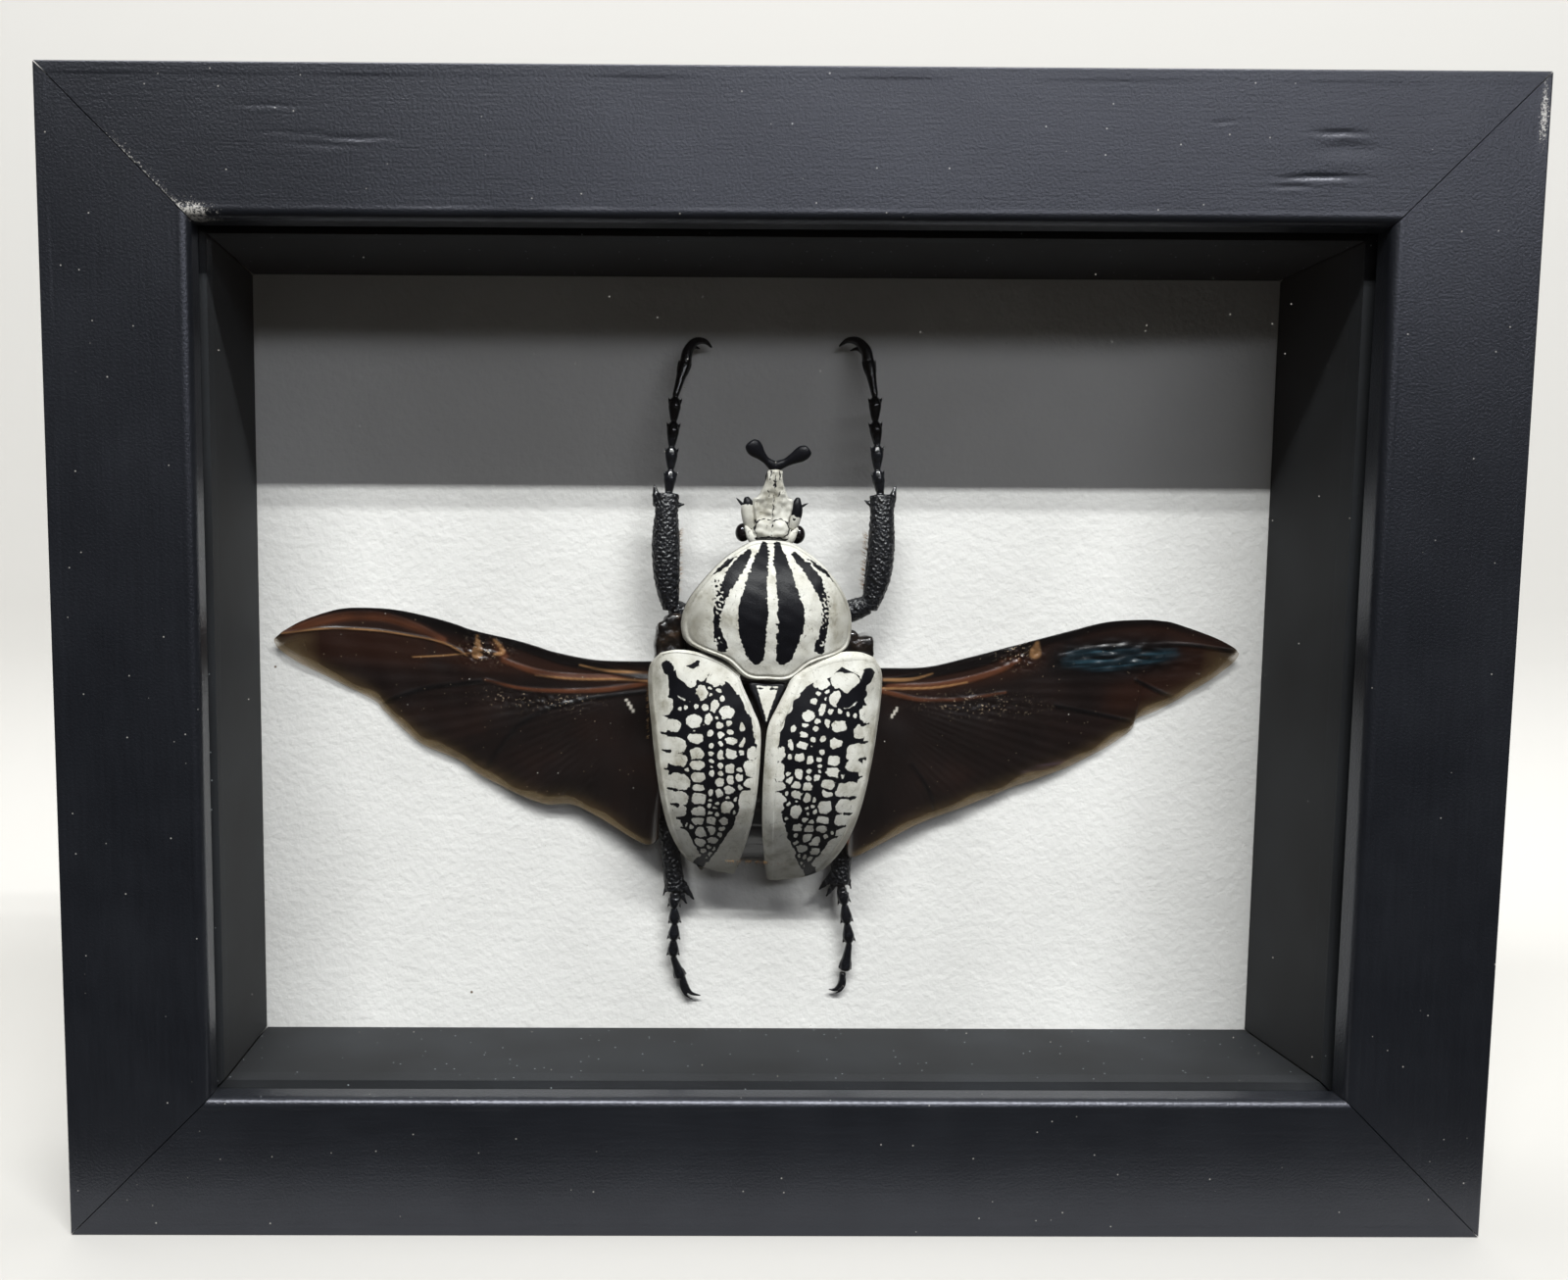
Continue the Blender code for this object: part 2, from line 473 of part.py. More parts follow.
def add_trunk(brown, parent):
    # Mid and hind body, with the shoulder plates that show before the wing cases
    rings = []
    for along, half_width, low, high in TRUNK_STATIONS:
        ring = []
        for k in range(TRUNK_SIDES):
            turn = 2 * pi * k / TRUNK_SIDES
            across = half_width * abs(cos(turn)) ** TRUNK_ROUNDNESS * (1 if cos(turn) >= 0 else -1)
            rise = abs(sin(turn)) ** TRUNK_ROUNDNESS * (1 if sin(turn) >= 0 else -1)
            ring.append(spot(across, (low + high) / 2 + rise * (high - low) / 2, along))
        rings.append(ring)
    trunk = add_part("thorax_and_abdomen", rings, brown, parent, 60)
    grown = []
    for side, hand in ((-1, "left"), (1, "right")):
        for name, (centre, radii) in (("flank_", FLANK), ("shoulder_", SHOULDER)):
            grown.append(add_ball(name + hand, on_side([centre], side)[0], radii, brown, parent))
    return unite(trunk, grown)


def elytron_spot(side, s, t):
    # Patch between base, apex, suture and side edge; s runs outwards, t towards the apex
    base = blend_along(ELYTRON_BASE, s)
    apex = blend_along(ELYTRON_APEX, s)
    suture = blend_along(ELYTRON_SUTURE, t)
    edge = blend_along(ELYTRON_SIDE, t)
    corners = ((1 - s) * (1 - t) * Vector(ELYTRON_BASE[0]) + s * (1 - t) * Vector(ELYTRON_BASE[-1])
               + (1 - s) * t * Vector(ELYTRON_APEX[0]) + s * t * Vector(ELYTRON_APEX[-1]))
    flat = (1 - t) * base + t * apex + (1 - s) * suture + s * edge - corners
    return side * flat.x, flat.y


def add_elytron(name, side, chalk, parent):
    columns = ELYTRON_COLUMNS
    rows = ELYTRON_ROWS
    tool = bmesh.new()
    grid = {}
    for i in range(columns + 1):
        for j in range(rows + 1):
            across, along = elytron_spot(side, i / columns, j / rows)
            top = elytron_height(across, along)
            across, along = spread(across, along, apex_sink(along))
            rolled = 0.5 if i in (0, columns) or j in (0, rows) else 0.0
            grid[i, j, 1] = tool.verts.new(spot(across, top - rolled, along))
            grid[i, j, 0] = tool.verts.new(spot(across, top - ELYTRON_THICKNESS - rolled, along))
    for i in range(columns):
        for j in range(rows):
            for layer in (0, 1):
                tool.faces.new((grid[i, j, layer], grid[i + 1, j, layer],
                                grid[i + 1, j + 1, layer], grid[i, j + 1, layer]))
    rim = [(i, 0) for i in range(columns)] + [(columns, j) for j in range(rows)]
    rim += [(columns - i, rows) for i in range(columns)] + [(0, rows - j) for j in range(rows)]
    for (i, j), (k, m) in zip(rim, rim[1:] + rim[:1]):
        tool.faces.new((grid[i, j, 0], grid[k, m, 0], grid[k, m, 1], grid[i, j, 1]))
    return add_object(name, tool, chalk, parent, 50)


def wing_sink(span):
    part = min(1.0, max(0.0, (span - WING_SINK_FROM) / (WING_SINK_TO - WING_SINK_FROM)))
    return WING_SINK * part * part * (3 - 2 * part)


def wing_height(span, chord):
    # Level near the root, then dipping, with the trailing part hanging a little lower
    dip = WING_DIP * sin(pi * min(1.0, span * 1.1))
    droop = WING_DROOP * chord * sin(pi * min(1.0, 0.15 + 0.85 * span))
    return WING_LEVEL - dip - droop - wing_sink(span)


def wing_thickness(span, chord):
    return WING_THICKNESS + VEIN_THICKNESS * (1 - span) * max(0.0, 1 - chord / VEIN_WIDTH)


def add_wing(name, stations, membrane, parent):
    steps = WING_STEPS
    tool = bmesh.new()
    last = len(stations) - 1
    grid = {}
    for i, (lead_u, lead_v, trail_u, trail_v) in enumerate(stations):
        for j in range(steps + 1):
            chord = (j / steps) ** 1.3
            across = lead_u + (trail_u - lead_u) * chord
            along = lead_v + (trail_v - lead_v) * chord
            across, along = spread(across, along, wing_sink(i / last))
            height = wing_height(i / last, chord)
            half = wing_thickness(i / last, chord) / 2
            grid[i, j, 1] = tool.verts.new(spot(across, height + half, along))
            grid[i, j, 0] = tool.verts.new(spot(across, height - half, along))
    for i in range(last):
        for j in range(steps):
            for layer in (0, 1):
                tool.faces.new((grid[i, j, layer], grid[i + 1, j, layer],
                                grid[i + 1, j + 1, layer], grid[i, j + 1, layer]))
    rim = [(i, 0) for i in range(last)] + [(last, j) for j in range(steps)]
    rim += [(last - i, steps) for i in range(last)] + [(0, steps - j) for j in range(steps)]
    for (i, j), (k, m) in zip(rim, rim[1:] + rim[:1]):
        tool.faces.new((grid[i, j, 0], grid[k, m, 0], grid[k, m, 1], grid[i, j, 1]))
    return add_object(name, tool, membrane, parent, 50)


def add_leg(name, path, spikes, claws, black, parent, claw_radius=0.95):
    leg = add_part(name, tube_rings(path, 8), black, parent)
    grown = [add_spike("%s_spike_%d" % (name, i), root, tip, radius, black, parent)
             for i, (root, tip, radius) in enumerate(spikes)]
    grown += [add_claw("%s_claw_%d" % (name, i), points, claw_radius, black, parent)
              for i, points in enumerate(claws)]
    return unite(leg, grown)


def add_legs(black, parent):
    # Spikes are (root, tip, radius) and claws are points along their curve
    add_leg("foreleg_left", LEFT_FORELEG,
            [((-21.2, 8.0, 32.2), (-22.4, 8.0, 35.2), 0.8), ((-18.2, 8.0, 31.6), (-16.3, 8.0, 32.0), 0.6)],
            [[(-17.1, 5.0, 59.0), (-16.8, 4.6, 61.6), (-15.4, 3.8, 63.6), (-13.4, 3.0, 63.9),
              (-11.9, 2.4, 62.8)],
             [(-17.2, 4.8, 59.2), (-17.0, 3.6, 61.4), (-15.6, 2.6, 62.8), (-14.2, 2.0, 62.6)]],
            black, parent)
    add_leg("foreleg_right", RIGHT_FORELEG,
            [((23.4, 8.0, 33.6), (24.4, 8.0, 37.0), 0.8), ((20.4, 8.0, 33.0), (18.4, 8.0, 34.2), 0.6)],
            [[(18.3, 5.0, 60.6), (17.8, 4.6, 63.2), (16.2, 3.8, 65.0), (14.3, 3.0, 65.2),
              (12.8, 2.4, 64.0)],
             [(18.4, 4.8, 60.8), (18.0, 3.6, 62.6), (16.6, 2.6, 63.8), (15.0, 2.0, 63.4)]],
            black, parent)
    mid_claws = [[(-36.4, 1.6, -22.8), (-37.2, 1.3, -24.6), (-37.0, 1.0, -26.0)]]
    for hand, side in (("left", 1), ("right", -1)):
        claws = [on_side(claw, side) for claw in mid_claws]
        add_leg("midleg_" + hand, on_side(LEFT_MIDLEG, side), [], claws, black, parent, 0.7)
    add_leg("hindleg_left", LEFT_HINDLEG,
            [((-13.6, 3.8, -43.4), (-10.6, 3.6, -46.8), 0.9),
             ((-14.6, 3.8, -43.8), (-12.0, 3.2, -47.8), 0.8),
             ((-16.0, 3.8, -43.4), (-17.0, 3.6, -46.2), 0.5)],
            [[(-11.8, 1.7, -63.8), (-11.1, 1.5, -66.0), (-9.9, 1.3, -67.4), (-8.2, 1.1, -67.3)],
             [(-11.7, 1.7, -64.0), (-11.8, 1.4, -66.2), (-10.9, 1.2, -67.8), (-9.6, 1.1, -68.4)]],
            black, parent)
    add_leg("hindleg_right", RIGHT_HINDLEG,
            [((17.4, 3.8, -40.6), (14.4, 3.6, -43.8), 0.9), ((18.4, 3.8, -41.2), (16.0, 3.2, -45.2), 0.8),
             ((20.0, 3.8, -40.6), (21.0, 3.6, -43.4), 0.5)],
            [[(20.6, 1.7, -60.8), (20.4, 1.5, -63.2), (19.4, 1.3, -64.8), (17.9, 1.1, -64.9)],
             [(20.6, 1.7, -61.0), (21.0, 1.4, -63.4), (20.4, 1.2, -65.0), (19.2, 1.1, -65.8)]],
            black, parent)


def add_beetle():
    axes = bpy.data.objects.new("beetle_axes", None)
    axes.location = (BEETLE_X, CARD_Y, BEETLE_Z)
    axes.rotation_euler = (0, BEETLE_LEAN, 0)
    bpy.context.collection.objects.link(axes)
    chalk = finish("chalky white and black cuticle", (0.62, 0.61, 0.56), 0.6)
    brown = finish("brown cuticle", (0.05, 0.035, 0.025), 0.4)
    black = finish("black leg cuticle", (0.012, 0.012, 0.014), 0.35)
    membrane = finish("dark wing membrane", (0.03, 0.016, 0.012), 0.25)
    add_head(chalk, axes)
    add_pronotum(chalk, axes)
    add_scutellum(chalk, axes)
    add_trunk(brown, axes)
    add_elytron("elytron_left", -1, chalk, axes)
    add_elytron("elytron_right", 1, chalk, axes)
    add_wing("hindwing_left", LEFT_WING, membrane, axes)
    add_wing("hindwing_right", RIGHT_WING, membrane, axes)
    add_legs(black, axes)


clear_scene()
add_rails()
add_spacers()
add_sheets()
add_tabs()
add_beetle()
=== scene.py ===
import math
import random

import bpy
import numpy as np
from mathutils import Matrix, Vector


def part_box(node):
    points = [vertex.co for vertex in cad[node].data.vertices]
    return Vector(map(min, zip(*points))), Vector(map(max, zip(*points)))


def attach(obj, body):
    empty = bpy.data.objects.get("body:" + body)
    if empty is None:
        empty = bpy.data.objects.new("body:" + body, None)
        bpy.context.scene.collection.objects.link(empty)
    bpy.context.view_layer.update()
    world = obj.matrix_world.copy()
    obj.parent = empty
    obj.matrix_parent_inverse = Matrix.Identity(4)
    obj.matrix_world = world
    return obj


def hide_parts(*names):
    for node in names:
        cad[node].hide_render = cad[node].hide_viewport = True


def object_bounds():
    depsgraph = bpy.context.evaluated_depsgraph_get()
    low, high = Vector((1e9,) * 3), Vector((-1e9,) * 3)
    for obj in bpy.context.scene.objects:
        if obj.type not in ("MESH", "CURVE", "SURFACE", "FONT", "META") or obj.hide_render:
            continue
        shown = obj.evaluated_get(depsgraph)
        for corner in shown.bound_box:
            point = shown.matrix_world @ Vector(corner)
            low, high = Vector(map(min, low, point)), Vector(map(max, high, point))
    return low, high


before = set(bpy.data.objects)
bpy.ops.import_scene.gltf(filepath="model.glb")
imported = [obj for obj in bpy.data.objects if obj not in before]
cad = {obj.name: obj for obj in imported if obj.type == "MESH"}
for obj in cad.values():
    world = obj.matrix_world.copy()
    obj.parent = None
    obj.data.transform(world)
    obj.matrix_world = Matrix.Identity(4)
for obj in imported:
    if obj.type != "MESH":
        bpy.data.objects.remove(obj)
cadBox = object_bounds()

# A male goliath beetle with spread wings in a black shadow box frame.
# Sizes are millimetres unless a name says otherwise.
mm = 0.001
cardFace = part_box("backing_card")[0].y / mm
beetle = {"across": -1.2, "up": 100.0, "leanDegrees": 2.0}


# Helpers

def deselect():
    if bpy.context.object and bpy.context.object.mode != "OBJECT":
        bpy.ops.object.mode_set(mode="OBJECT")
    bpy.ops.object.select_all(action="DESELECT")


def onCard(u, h, v):
    # Across, off the card and along the body, to metres in the frame's axes
    lean = math.radians(beetle["leanDegrees"])
    x = beetle["across"] + u * math.cos(lean) + v * math.sin(lean)
    z = beetle["up"] - u * math.sin(lean) + v * math.cos(lean)
    return np.stack((x, cardFace - h + 0 * u, z), -1) * mm


def offCard(piece):
    # The other way: a piece's vertices as across, off the card and along the body
    co = np.empty(len(piece.data.vertices) * 3, np.float32)
    piece.data.vertices.foreach_get("co", co)
    co = co.reshape(-1, 3).astype(float) / mm
    lean = math.radians(beetle["leanDegrees"])
    x = co[:, 0] - beetle["across"]
    z = co[:, 2] - beetle["up"]
    u = x * math.cos(lean) - z * math.sin(lean)
    v = x * math.sin(lean) + z * math.cos(lean)
    return u, cardFace - co[:, 1], v


def smooth(points, part, closed=False):
    # Curve through the points, whose part runs from 0 to 1
    points = np.array(points, float)
    count = len(points)
    spans = count if closed else count - 1
    place = np.clip(part, 0.0, 1.0) * spans
    i = np.minimum(place.astype(int), spans - 1)
    t = (place - i)[..., None]
    pick = (lambda k: points[(i + k) % count]) if closed else (lambda k: points[np.clip(i + k, 0, count - 1)])
    a, b, c, d = (pick(k) for k in (-1, 0, 1, 2))
    bend = 2 * a - 5 * b + 4 * c - d
    twist = 3 * b - a - 3 * c + d
    return 0.5 * (2 * b + (c - a) * t + bend * t ** 2 + twist * t ** 3)


def waves(u, v, size, seed, count=7):
    # Slow irregular swell from -1 to 1, about size across
    dice = np.random.RandomState(seed)
    total = np.zeros(np.shape(u))
    for _ in range(count):
        turn = dice.uniform(0, 2 * math.pi)
        pitch = 2 * math.pi / (size * dice.uniform(0.7, 1.6))
        total += np.sin(pitch * (u * math.cos(turn) + v * math.sin(turn)) + dice.uniform(0, 2 * math.pi))
    return total / math.sqrt(count * 2)


def hill(u, v, centreU, centreV, halfU, halfV):
    # Soft rise from 0 to 1 around a place
    return np.exp(-((u - centreU) / halfU) ** 2 - ((v - centreV) / halfV) ** 2)


def strokeDistance(u, v, stroke, steps=8):
    # How far outside a stroke of changing half width each place is, negative inside
    path = smooth(stroke, np.linspace(0, 1, steps * (len(stroke) - 1) + 1))
    best = np.full(np.shape(u), 1e3)
    for (u0, v0, w0), (u1, v1, w1) in zip(path, path[1:]):
        du, dv = u1 - u0, v1 - v0
        share = np.clip(((u - u0) * du + (v - v0) * dv) / (du * du + dv * dv + 1e-9), 0, 1)
        gap = np.hypot(u - u0 - share * du, v - v0 - share * dv) - (w0 + (w1 - w0) * share)
        best = np.minimum(best, gap)
    return best


def setPoints(piece, points):
    piece.data.vertices.foreach_set("co", np.ascontiguousarray(points, np.float32).ravel())
    piece.data.update()


def gridPiece(name, across, along, shape):
    # A grid is added flat, and shape(s, t) gives its places in the beetle's millimetres
    deselect()
    bpy.ops.mesh.primitive_grid_add(x_subdivisions=across, y_subdivisions=along, size=1.0)
    piece = bpy.context.object
    piece.name = name
    piece.data.name = name
    flat = np.empty(len(piece.data.vertices) * 3, np.float32)
    piece.data.vertices.foreach_get("co", flat)
    flat = flat.reshape(-1, 3).astype(float) + 0.5
    setPoints(piece, onCard(*shape(np.clip(flat[:, 0], 0, 1), np.clip(flat[:, 1], 0, 1))))
    return piece


def applyModifier(piece, kind, **settings):
    deselect()
    piece.select_set(True)
    bpy.context.view_layer.objects.active = piece
    added = piece.modifiers.new(kind.lower(), kind)
    for key, value in settings.items():
        setattr(added, key, value)
    bpy.ops.object.modifier_apply(modifier=added.name)


def tidyMesh(piece, angleDegrees=180):
    # Seams and poles are merged, faces turned outwards and shaded smooth
    deselect()
    piece.select_set(True)
    bpy.context.view_layer.objects.active = piece
    bpy.ops.object.mode_set(mode="EDIT")
    bpy.ops.mesh.select_all(action="SELECT")
    bpy.ops.mesh.remove_doubles(threshold=2e-6)
    bpy.ops.mesh.normals_make_consistent(inside=False)
    bpy.ops.object.mode_set(mode="OBJECT")
    if angleDegrees < 180:
        bpy.ops.object.shade_smooth_by_angle(angle=math.radians(angleDegrees))
    else:
        bpy.ops.object.shade_smooth()


def joinPieces(name, parts):
    deselect()
    for part in parts:
        part.select_set(True)
    bpy.context.view_layer.objects.active = parts[0]
    if len(parts) > 1:
        bpy.ops.object.join()
    made = bpy.context.view_layer.objects.active
    made.name = name
    made.data.name = name
    return made


def remesh(piece, voxel, rounds=2):
    # Growths that pass through each other become one skin
    applyModifier(piece, "REMESH", mode="VOXEL", voxel_size=voxel * mm, use_smooth_shade=True)
    applyModifier(piece, "SMOOTH", factor=0.5, iterations=rounds)


def swell(piece, amount):
    # Moves each vertex along its normal by so many millimetres
    count = len(piece.data.vertices)
    normals, points = np.empty(count * 3, np.float32), np.empty(count * 3, np.float32)
    piece.data.vertices.foreach_get("normal", normals)
    piece.data.vertices.foreach_get("co", points)
    setPoints(piece, points.reshape(-1, 3) + normals.reshape(-1, 3) * (amount * mm)[:, None])


def ringPiece(name, around, rings, shape):
    piece = gridPiece(name, around, rings, shape)
    tidyMesh(piece)
    return piece


def tubePiece(name, path, sides=20, steps=60, cap=0.04):
    # A limb through (across, off the card, along, half width, half thickness), round at both ends
    def shape(s, t):
        here = smooth(path, t)
        ahead = smooth(path, np.clip(t + 0.01, 0, 1)) - smooth(path, np.clip(t - 0.01, 0, 1))
        forward = ahead[:, :3] / np.linalg.norm(ahead[:, :3], axis=1)[:, None]
        side = np.cross(forward, (0, 1, 0))
        side /= np.linalg.norm(side, axis=1)[:, None]
        up = np.cross(side, forward)
        near = np.clip(np.minimum(t, 1 - t) / cap, 0, 1)
        closing = np.sqrt(np.clip(1 - (1 - near) ** 2, 0, 1))
        turn = 2 * math.pi * s
        place = here[:, :3] + side * (here[:, 3] * closing * np.cos(turn))[:, None]
        place = place + up * (here[:, 4] * closing * np.sin(turn))[:, None]
        return place[:, 0], place[:, 1], place[:, 2]
    return ringPiece(name, sides, steps, shape)


def ballPiece(name, centre, radii, segments=40, rows=24, boxiness=1.0):
    deselect()
    bpy.ops.mesh.primitive_uv_sphere_add(segments=segments, ring_count=rows, radius=1.0)
    ball = bpy.context.object
    ball.name = name
    co = np.array([vertex.co for vertex in ball.data.vertices])
    co = np.sign(co) * np.abs(co) ** boxiness
    place = [centre[k] + co[:, k] * radii[k] for k in range(3)]
    setPoints(ball, onCard(*place))
    tidyMesh(ball)
    return ball


def setMark(piece, name, values):
    # A value for each vertex, which a material reads by name
    mark = piece.data.attributes.get(name) or piece.data.attributes.new(name, "FLOAT", "POINT")
    each = np.broadcast_to(values, len(piece.data.vertices))
    mark.data.foreach_set("value", np.ascontiguousarray(each, np.float32))


def hexColour(text):
    # sRGB hex to linear
    parts = [int(text[k:k + 2], 16) / 255 for k in (1, 3, 5)]
    return tuple(c / 12.92 if c <= 0.04045 else ((c + 0.055) / 1.055) ** 2.4 for c in parts) + (1.0,)


def perSize(size):
    # Texture scale for a pattern whose marks are size millimetres
    return 1.0 / (size * mm)


def addNode(tree, kind, settings=None, links=None):
    made = tree.nodes.new(kind)
    for key, value in (settings or {}).items():
        if key == "stops":
            ramp = made.color_ramp
            while len(ramp.elements) < len(value):
                ramp.elements.new(0.5)
            for element, (position, colour) in zip(ramp.elements, value):
                element.position = position
                element.color = colour
        elif isinstance(key, str) and hasattr(made, key):
            setattr(made, key, value)
        else:
            made.inputs[key].default_value = value
    for key, source in (links or {}).items():
        tree.links.new(source, made.inputs[key])
    return made


def newMaterial(name, colour, roughness, coat=0.0):
    material = bpy.data.materials.new(name)
    material.use_nodes = True
    tree = material.node_tree
    shader = tree.nodes["Principled BSDF"]
    shader.inputs["Base Color"].default_value = hexColour(colour)
    shader.inputs["Roughness"].default_value = roughness
    shader.inputs["Coat Weight"].default_value = coat
    material.diffuse_color = hexColour(colour)
    place = tree.nodes.new("ShaderNodeTexCoord").outputs["Object"]
    return material, tree, shader, place


def dress(piece, material, slot, *stoodFor):
    piece.data.materials.clear()
    piece.data.materials.append(material)
    if stoodFor:
        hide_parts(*stoodFor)
        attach(piece, "root")


def finishPiece(piece, slot, *stoodFor):
    # For pieces that already have their materials
    if stoodFor:
        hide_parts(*stoodFor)
    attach(piece, "root")


# Materials

def blackPaintedWood(name, grainAxis):
    # Softwood moulding sprayed satin black, a little pebbled, with faint grain along each rail
    material, tree, shader, place = newMaterial(name, "#1a1c20", 0.5)
    shader.inputs["Specular IOR Level"].default_value = 0.62
    shader.inputs["Specular Tint"].default_value = hexColour("#eff2ff")
    stretch = [perSize(0.6)] * 3
    stretch[grainAxis] = perSize(11.0)
    grainPlace = addNode(tree, "ShaderNodeMapping", {"Scale": stretch}, {"Vector": place}).outputs[0]
    grain = addNode(tree, "ShaderNodeTexNoise", {"Scale": 1.0, "Detail": 5.0, "Roughness": 0.6},
                    {"Vector": grainPlace}).outputs["Fac"]
    broad = addNode(tree, "ShaderNodeTexNoise", {"Scale": perSize(16.0), "Detail": 3.0}, {"Vector": place})
    pebble = addNode(tree, "ShaderNodeTexNoise", {"Scale": perSize(0.45), "Detail": 3.0}, {"Vector": place})
    tone = addNode(tree, "ShaderNodeValToRGB",
                   {"stops": [(0.3, hexColour("#111317")), (0.7, hexColour("#181a1e"))]},
                   {"Fac": broad.outputs["Fac"]}).outputs[0]
    grainTone = addNode(tree, "ShaderNodeValToRGB",
                        {"stops": [(0.35, (0.88, 0.88, 0.88, 1)), (0.7, (1.12, 1.12, 1.12, 1))]},
                        {"Fac": grain})
    painted = addNode(tree, "ShaderNodeMix", {"data_type": "RGBA", "blend_type": "MULTIPLY", 0: 1.0},
                      {6: tone, 7: grainTone.outputs[0]}).outputs[2]
    # Chips show the pale primer: they follow the attribute that marks worn mitres and corners
    worn = addNode(tree, "ShaderNodeAttribute", {"attribute_name": "worn"}).outputs["Fac"]
    chipNoise = addNode(tree, "ShaderNodeTexNoise", {"Scale": perSize(0.5), "Detail": 6.0, "Roughness": 0.85},
                        {"Vector": place}).outputs["Fac"]
    chipSum = addNode(tree, "ShaderNodeMath", {"operation": "ADD"}, {0: worn, 1: chipNoise}).outputs[0]
    chip = addNode(tree, "ShaderNodeMapRange", {"From Min": 0.95, "From Max": 1.0},
                   {"Value": chipSum}).outputs[0]
    # Single specks of dust
    dust = addNode(tree, "ShaderNodeTexVoronoi", {"Scale": perSize(3.6)},
                   {"Vector": place}).outputs["Distance"]
    speck = addNode(tree, "ShaderNodeMapRange", {"From Min": 0.05, "From Max": 0.025, "To Max": 0.6},
                    {"Value": dust}).outputs[0]
    pale = addNode(tree, "ShaderNodeMath", {"operation": "MAXIMUM"}, {0: chip, 1: speck}).outputs[0]
    colour = addNode(tree, "ShaderNodeMix", {"data_type": "RGBA", 7: hexColour("#aeaca6")},
                     {0: pale, 6: painted})
    tree.links.new(colour.outputs[2], shader.inputs["Base Color"])
    sheen = addNode(tree, "ShaderNodeMapRange", {"To Min": 0.26, "To Max": 0.38},
                    {"Value": pebble.outputs["Fac"]})
    tree.links.new(sheen.outputs[0], shader.inputs["Roughness"])
    both = addNode(tree, "ShaderNodeMath", {"operation": "MULTIPLY_ADD", 1: 0.45},
                   {0: grain, 2: pebble.outputs["Fac"]}).outputs[0]
    bump = addNode(tree, "ShaderNodeBump", {"Strength": 0.8, "Distance": 0.07 * mm}, {"Height": both})
    tree.links.new(bump.outputs[0], shader.inputs["Normal"])
    return material


def blackSpacerBoard():
    # Black foam or paper board: matt, with dust lying on it
    material, tree, shader, place = newMaterial("blackSpacerBoard", "#1a1c1f", 0.8)
    cloud = addNode(tree, "ShaderNodeTexNoise", {"Scale": perSize(22.0), "Detail": 4.0},
                    {"Vector": place}).outputs["Fac"]
    tone = addNode(tree, "ShaderNodeValToRGB",
                   {"stops": [(0.3, hexColour("#15171a")), (0.75, hexColour("#26292d"))]},
                   {"Fac": cloud}).outputs[0]
    dust = addNode(tree, "ShaderNodeTexVoronoi", {"feature": "F1", "Scale": perSize(1.7)}, {"Vector": place})
    speck = addNode(tree, "ShaderNodeMapRange", {"From Min": 0.11, "From Max": 0.06},
                    {"Value": dust.outputs["Distance"]})
    thin = addNode(tree, "ShaderNodeSeparateColor", {}, {"Color": dust.outputs["Color"]}).outputs[0]
    some = addNode(tree, "ShaderNodeMath", {"operation": "GREATER_THAN", 1: 0.72}, {0: thin}).outputs[0]
    seen = addNode(tree, "ShaderNodeMath", {"operation": "MULTIPLY"},
                   {0: speck.outputs[0], 1: some}).outputs[0]
    colour = addNode(tree, "ShaderNodeMix", {"data_type": "RGBA", 7: hexColour("#9aa0a4")},
                     {0: seen, 6: tone})
    tree.links.new(colour.outputs[2], shader.inputs["Base Color"])
    tooth = addNode(tree, "ShaderNodeTexNoise", {"Scale": perSize(0.4), "Detail": 3.0},
                    {"Vector": place}).outputs["Fac"]
    bump = addNode(tree, "ShaderNodeBump", {"Strength": 0.4, "Distance": 0.05 * mm}, {"Height": tooth})
    tree.links.new(bump.outputs[0], shader.inputs["Normal"])
    return material


def whiteCard():
    # Cold pressed watercolour card: a soft irregular tooth about a millimetre across
    material, tree, shader, place = newMaterial("coldPressedCard", "#e6e5e1", 0.9)
    tooth = addNode(tree, "ShaderNodeTexNoise", {"Scale": perSize(1.5), "Detail": 4.0, "Roughness": 0.55},
                    {"Vector": place}).outputs["Fac"]
    cloud = addNode(tree, "ShaderNodeTexNoise", {"Scale": perSize(30.0), "Detail": 2.0},
                    {"Vector": place}).outputs["Fac"]
    tone = addNode(tree, "ShaderNodeValToRGB",
                   {"stops": [(0.3, hexColour("#dfdedb")), (0.7, hexColour("#ebeae7"))]},
                   {"Fac": cloud}).outputs[0]
    crumbs = addNode(tree, "ShaderNodeTexVoronoi", {"Scale": perSize(16.0)},
                     {"Vector": place}).outputs["Distance"]
    crumb = addNode(tree, "ShaderNodeMapRange", {"From Min": 0.022, "From Max": 0.012},
                    {"Value": crumbs}).outputs[0]
    colour = addNode(tree, "ShaderNodeMix", {"data_type": "RGBA", 7: hexColour("#6a5a4a")},
                     {0: crumb, 6: tone})
    tree.links.new(colour.outputs[2], shader.inputs["Base Color"])
    bump = addNode(tree, "ShaderNodeBump", {"Strength": 0.8, "Distance": 0.3 * mm}, {"Height": tooth})
    tree.links.new(bump.outputs[0], shader.inputs["Normal"])
    return material


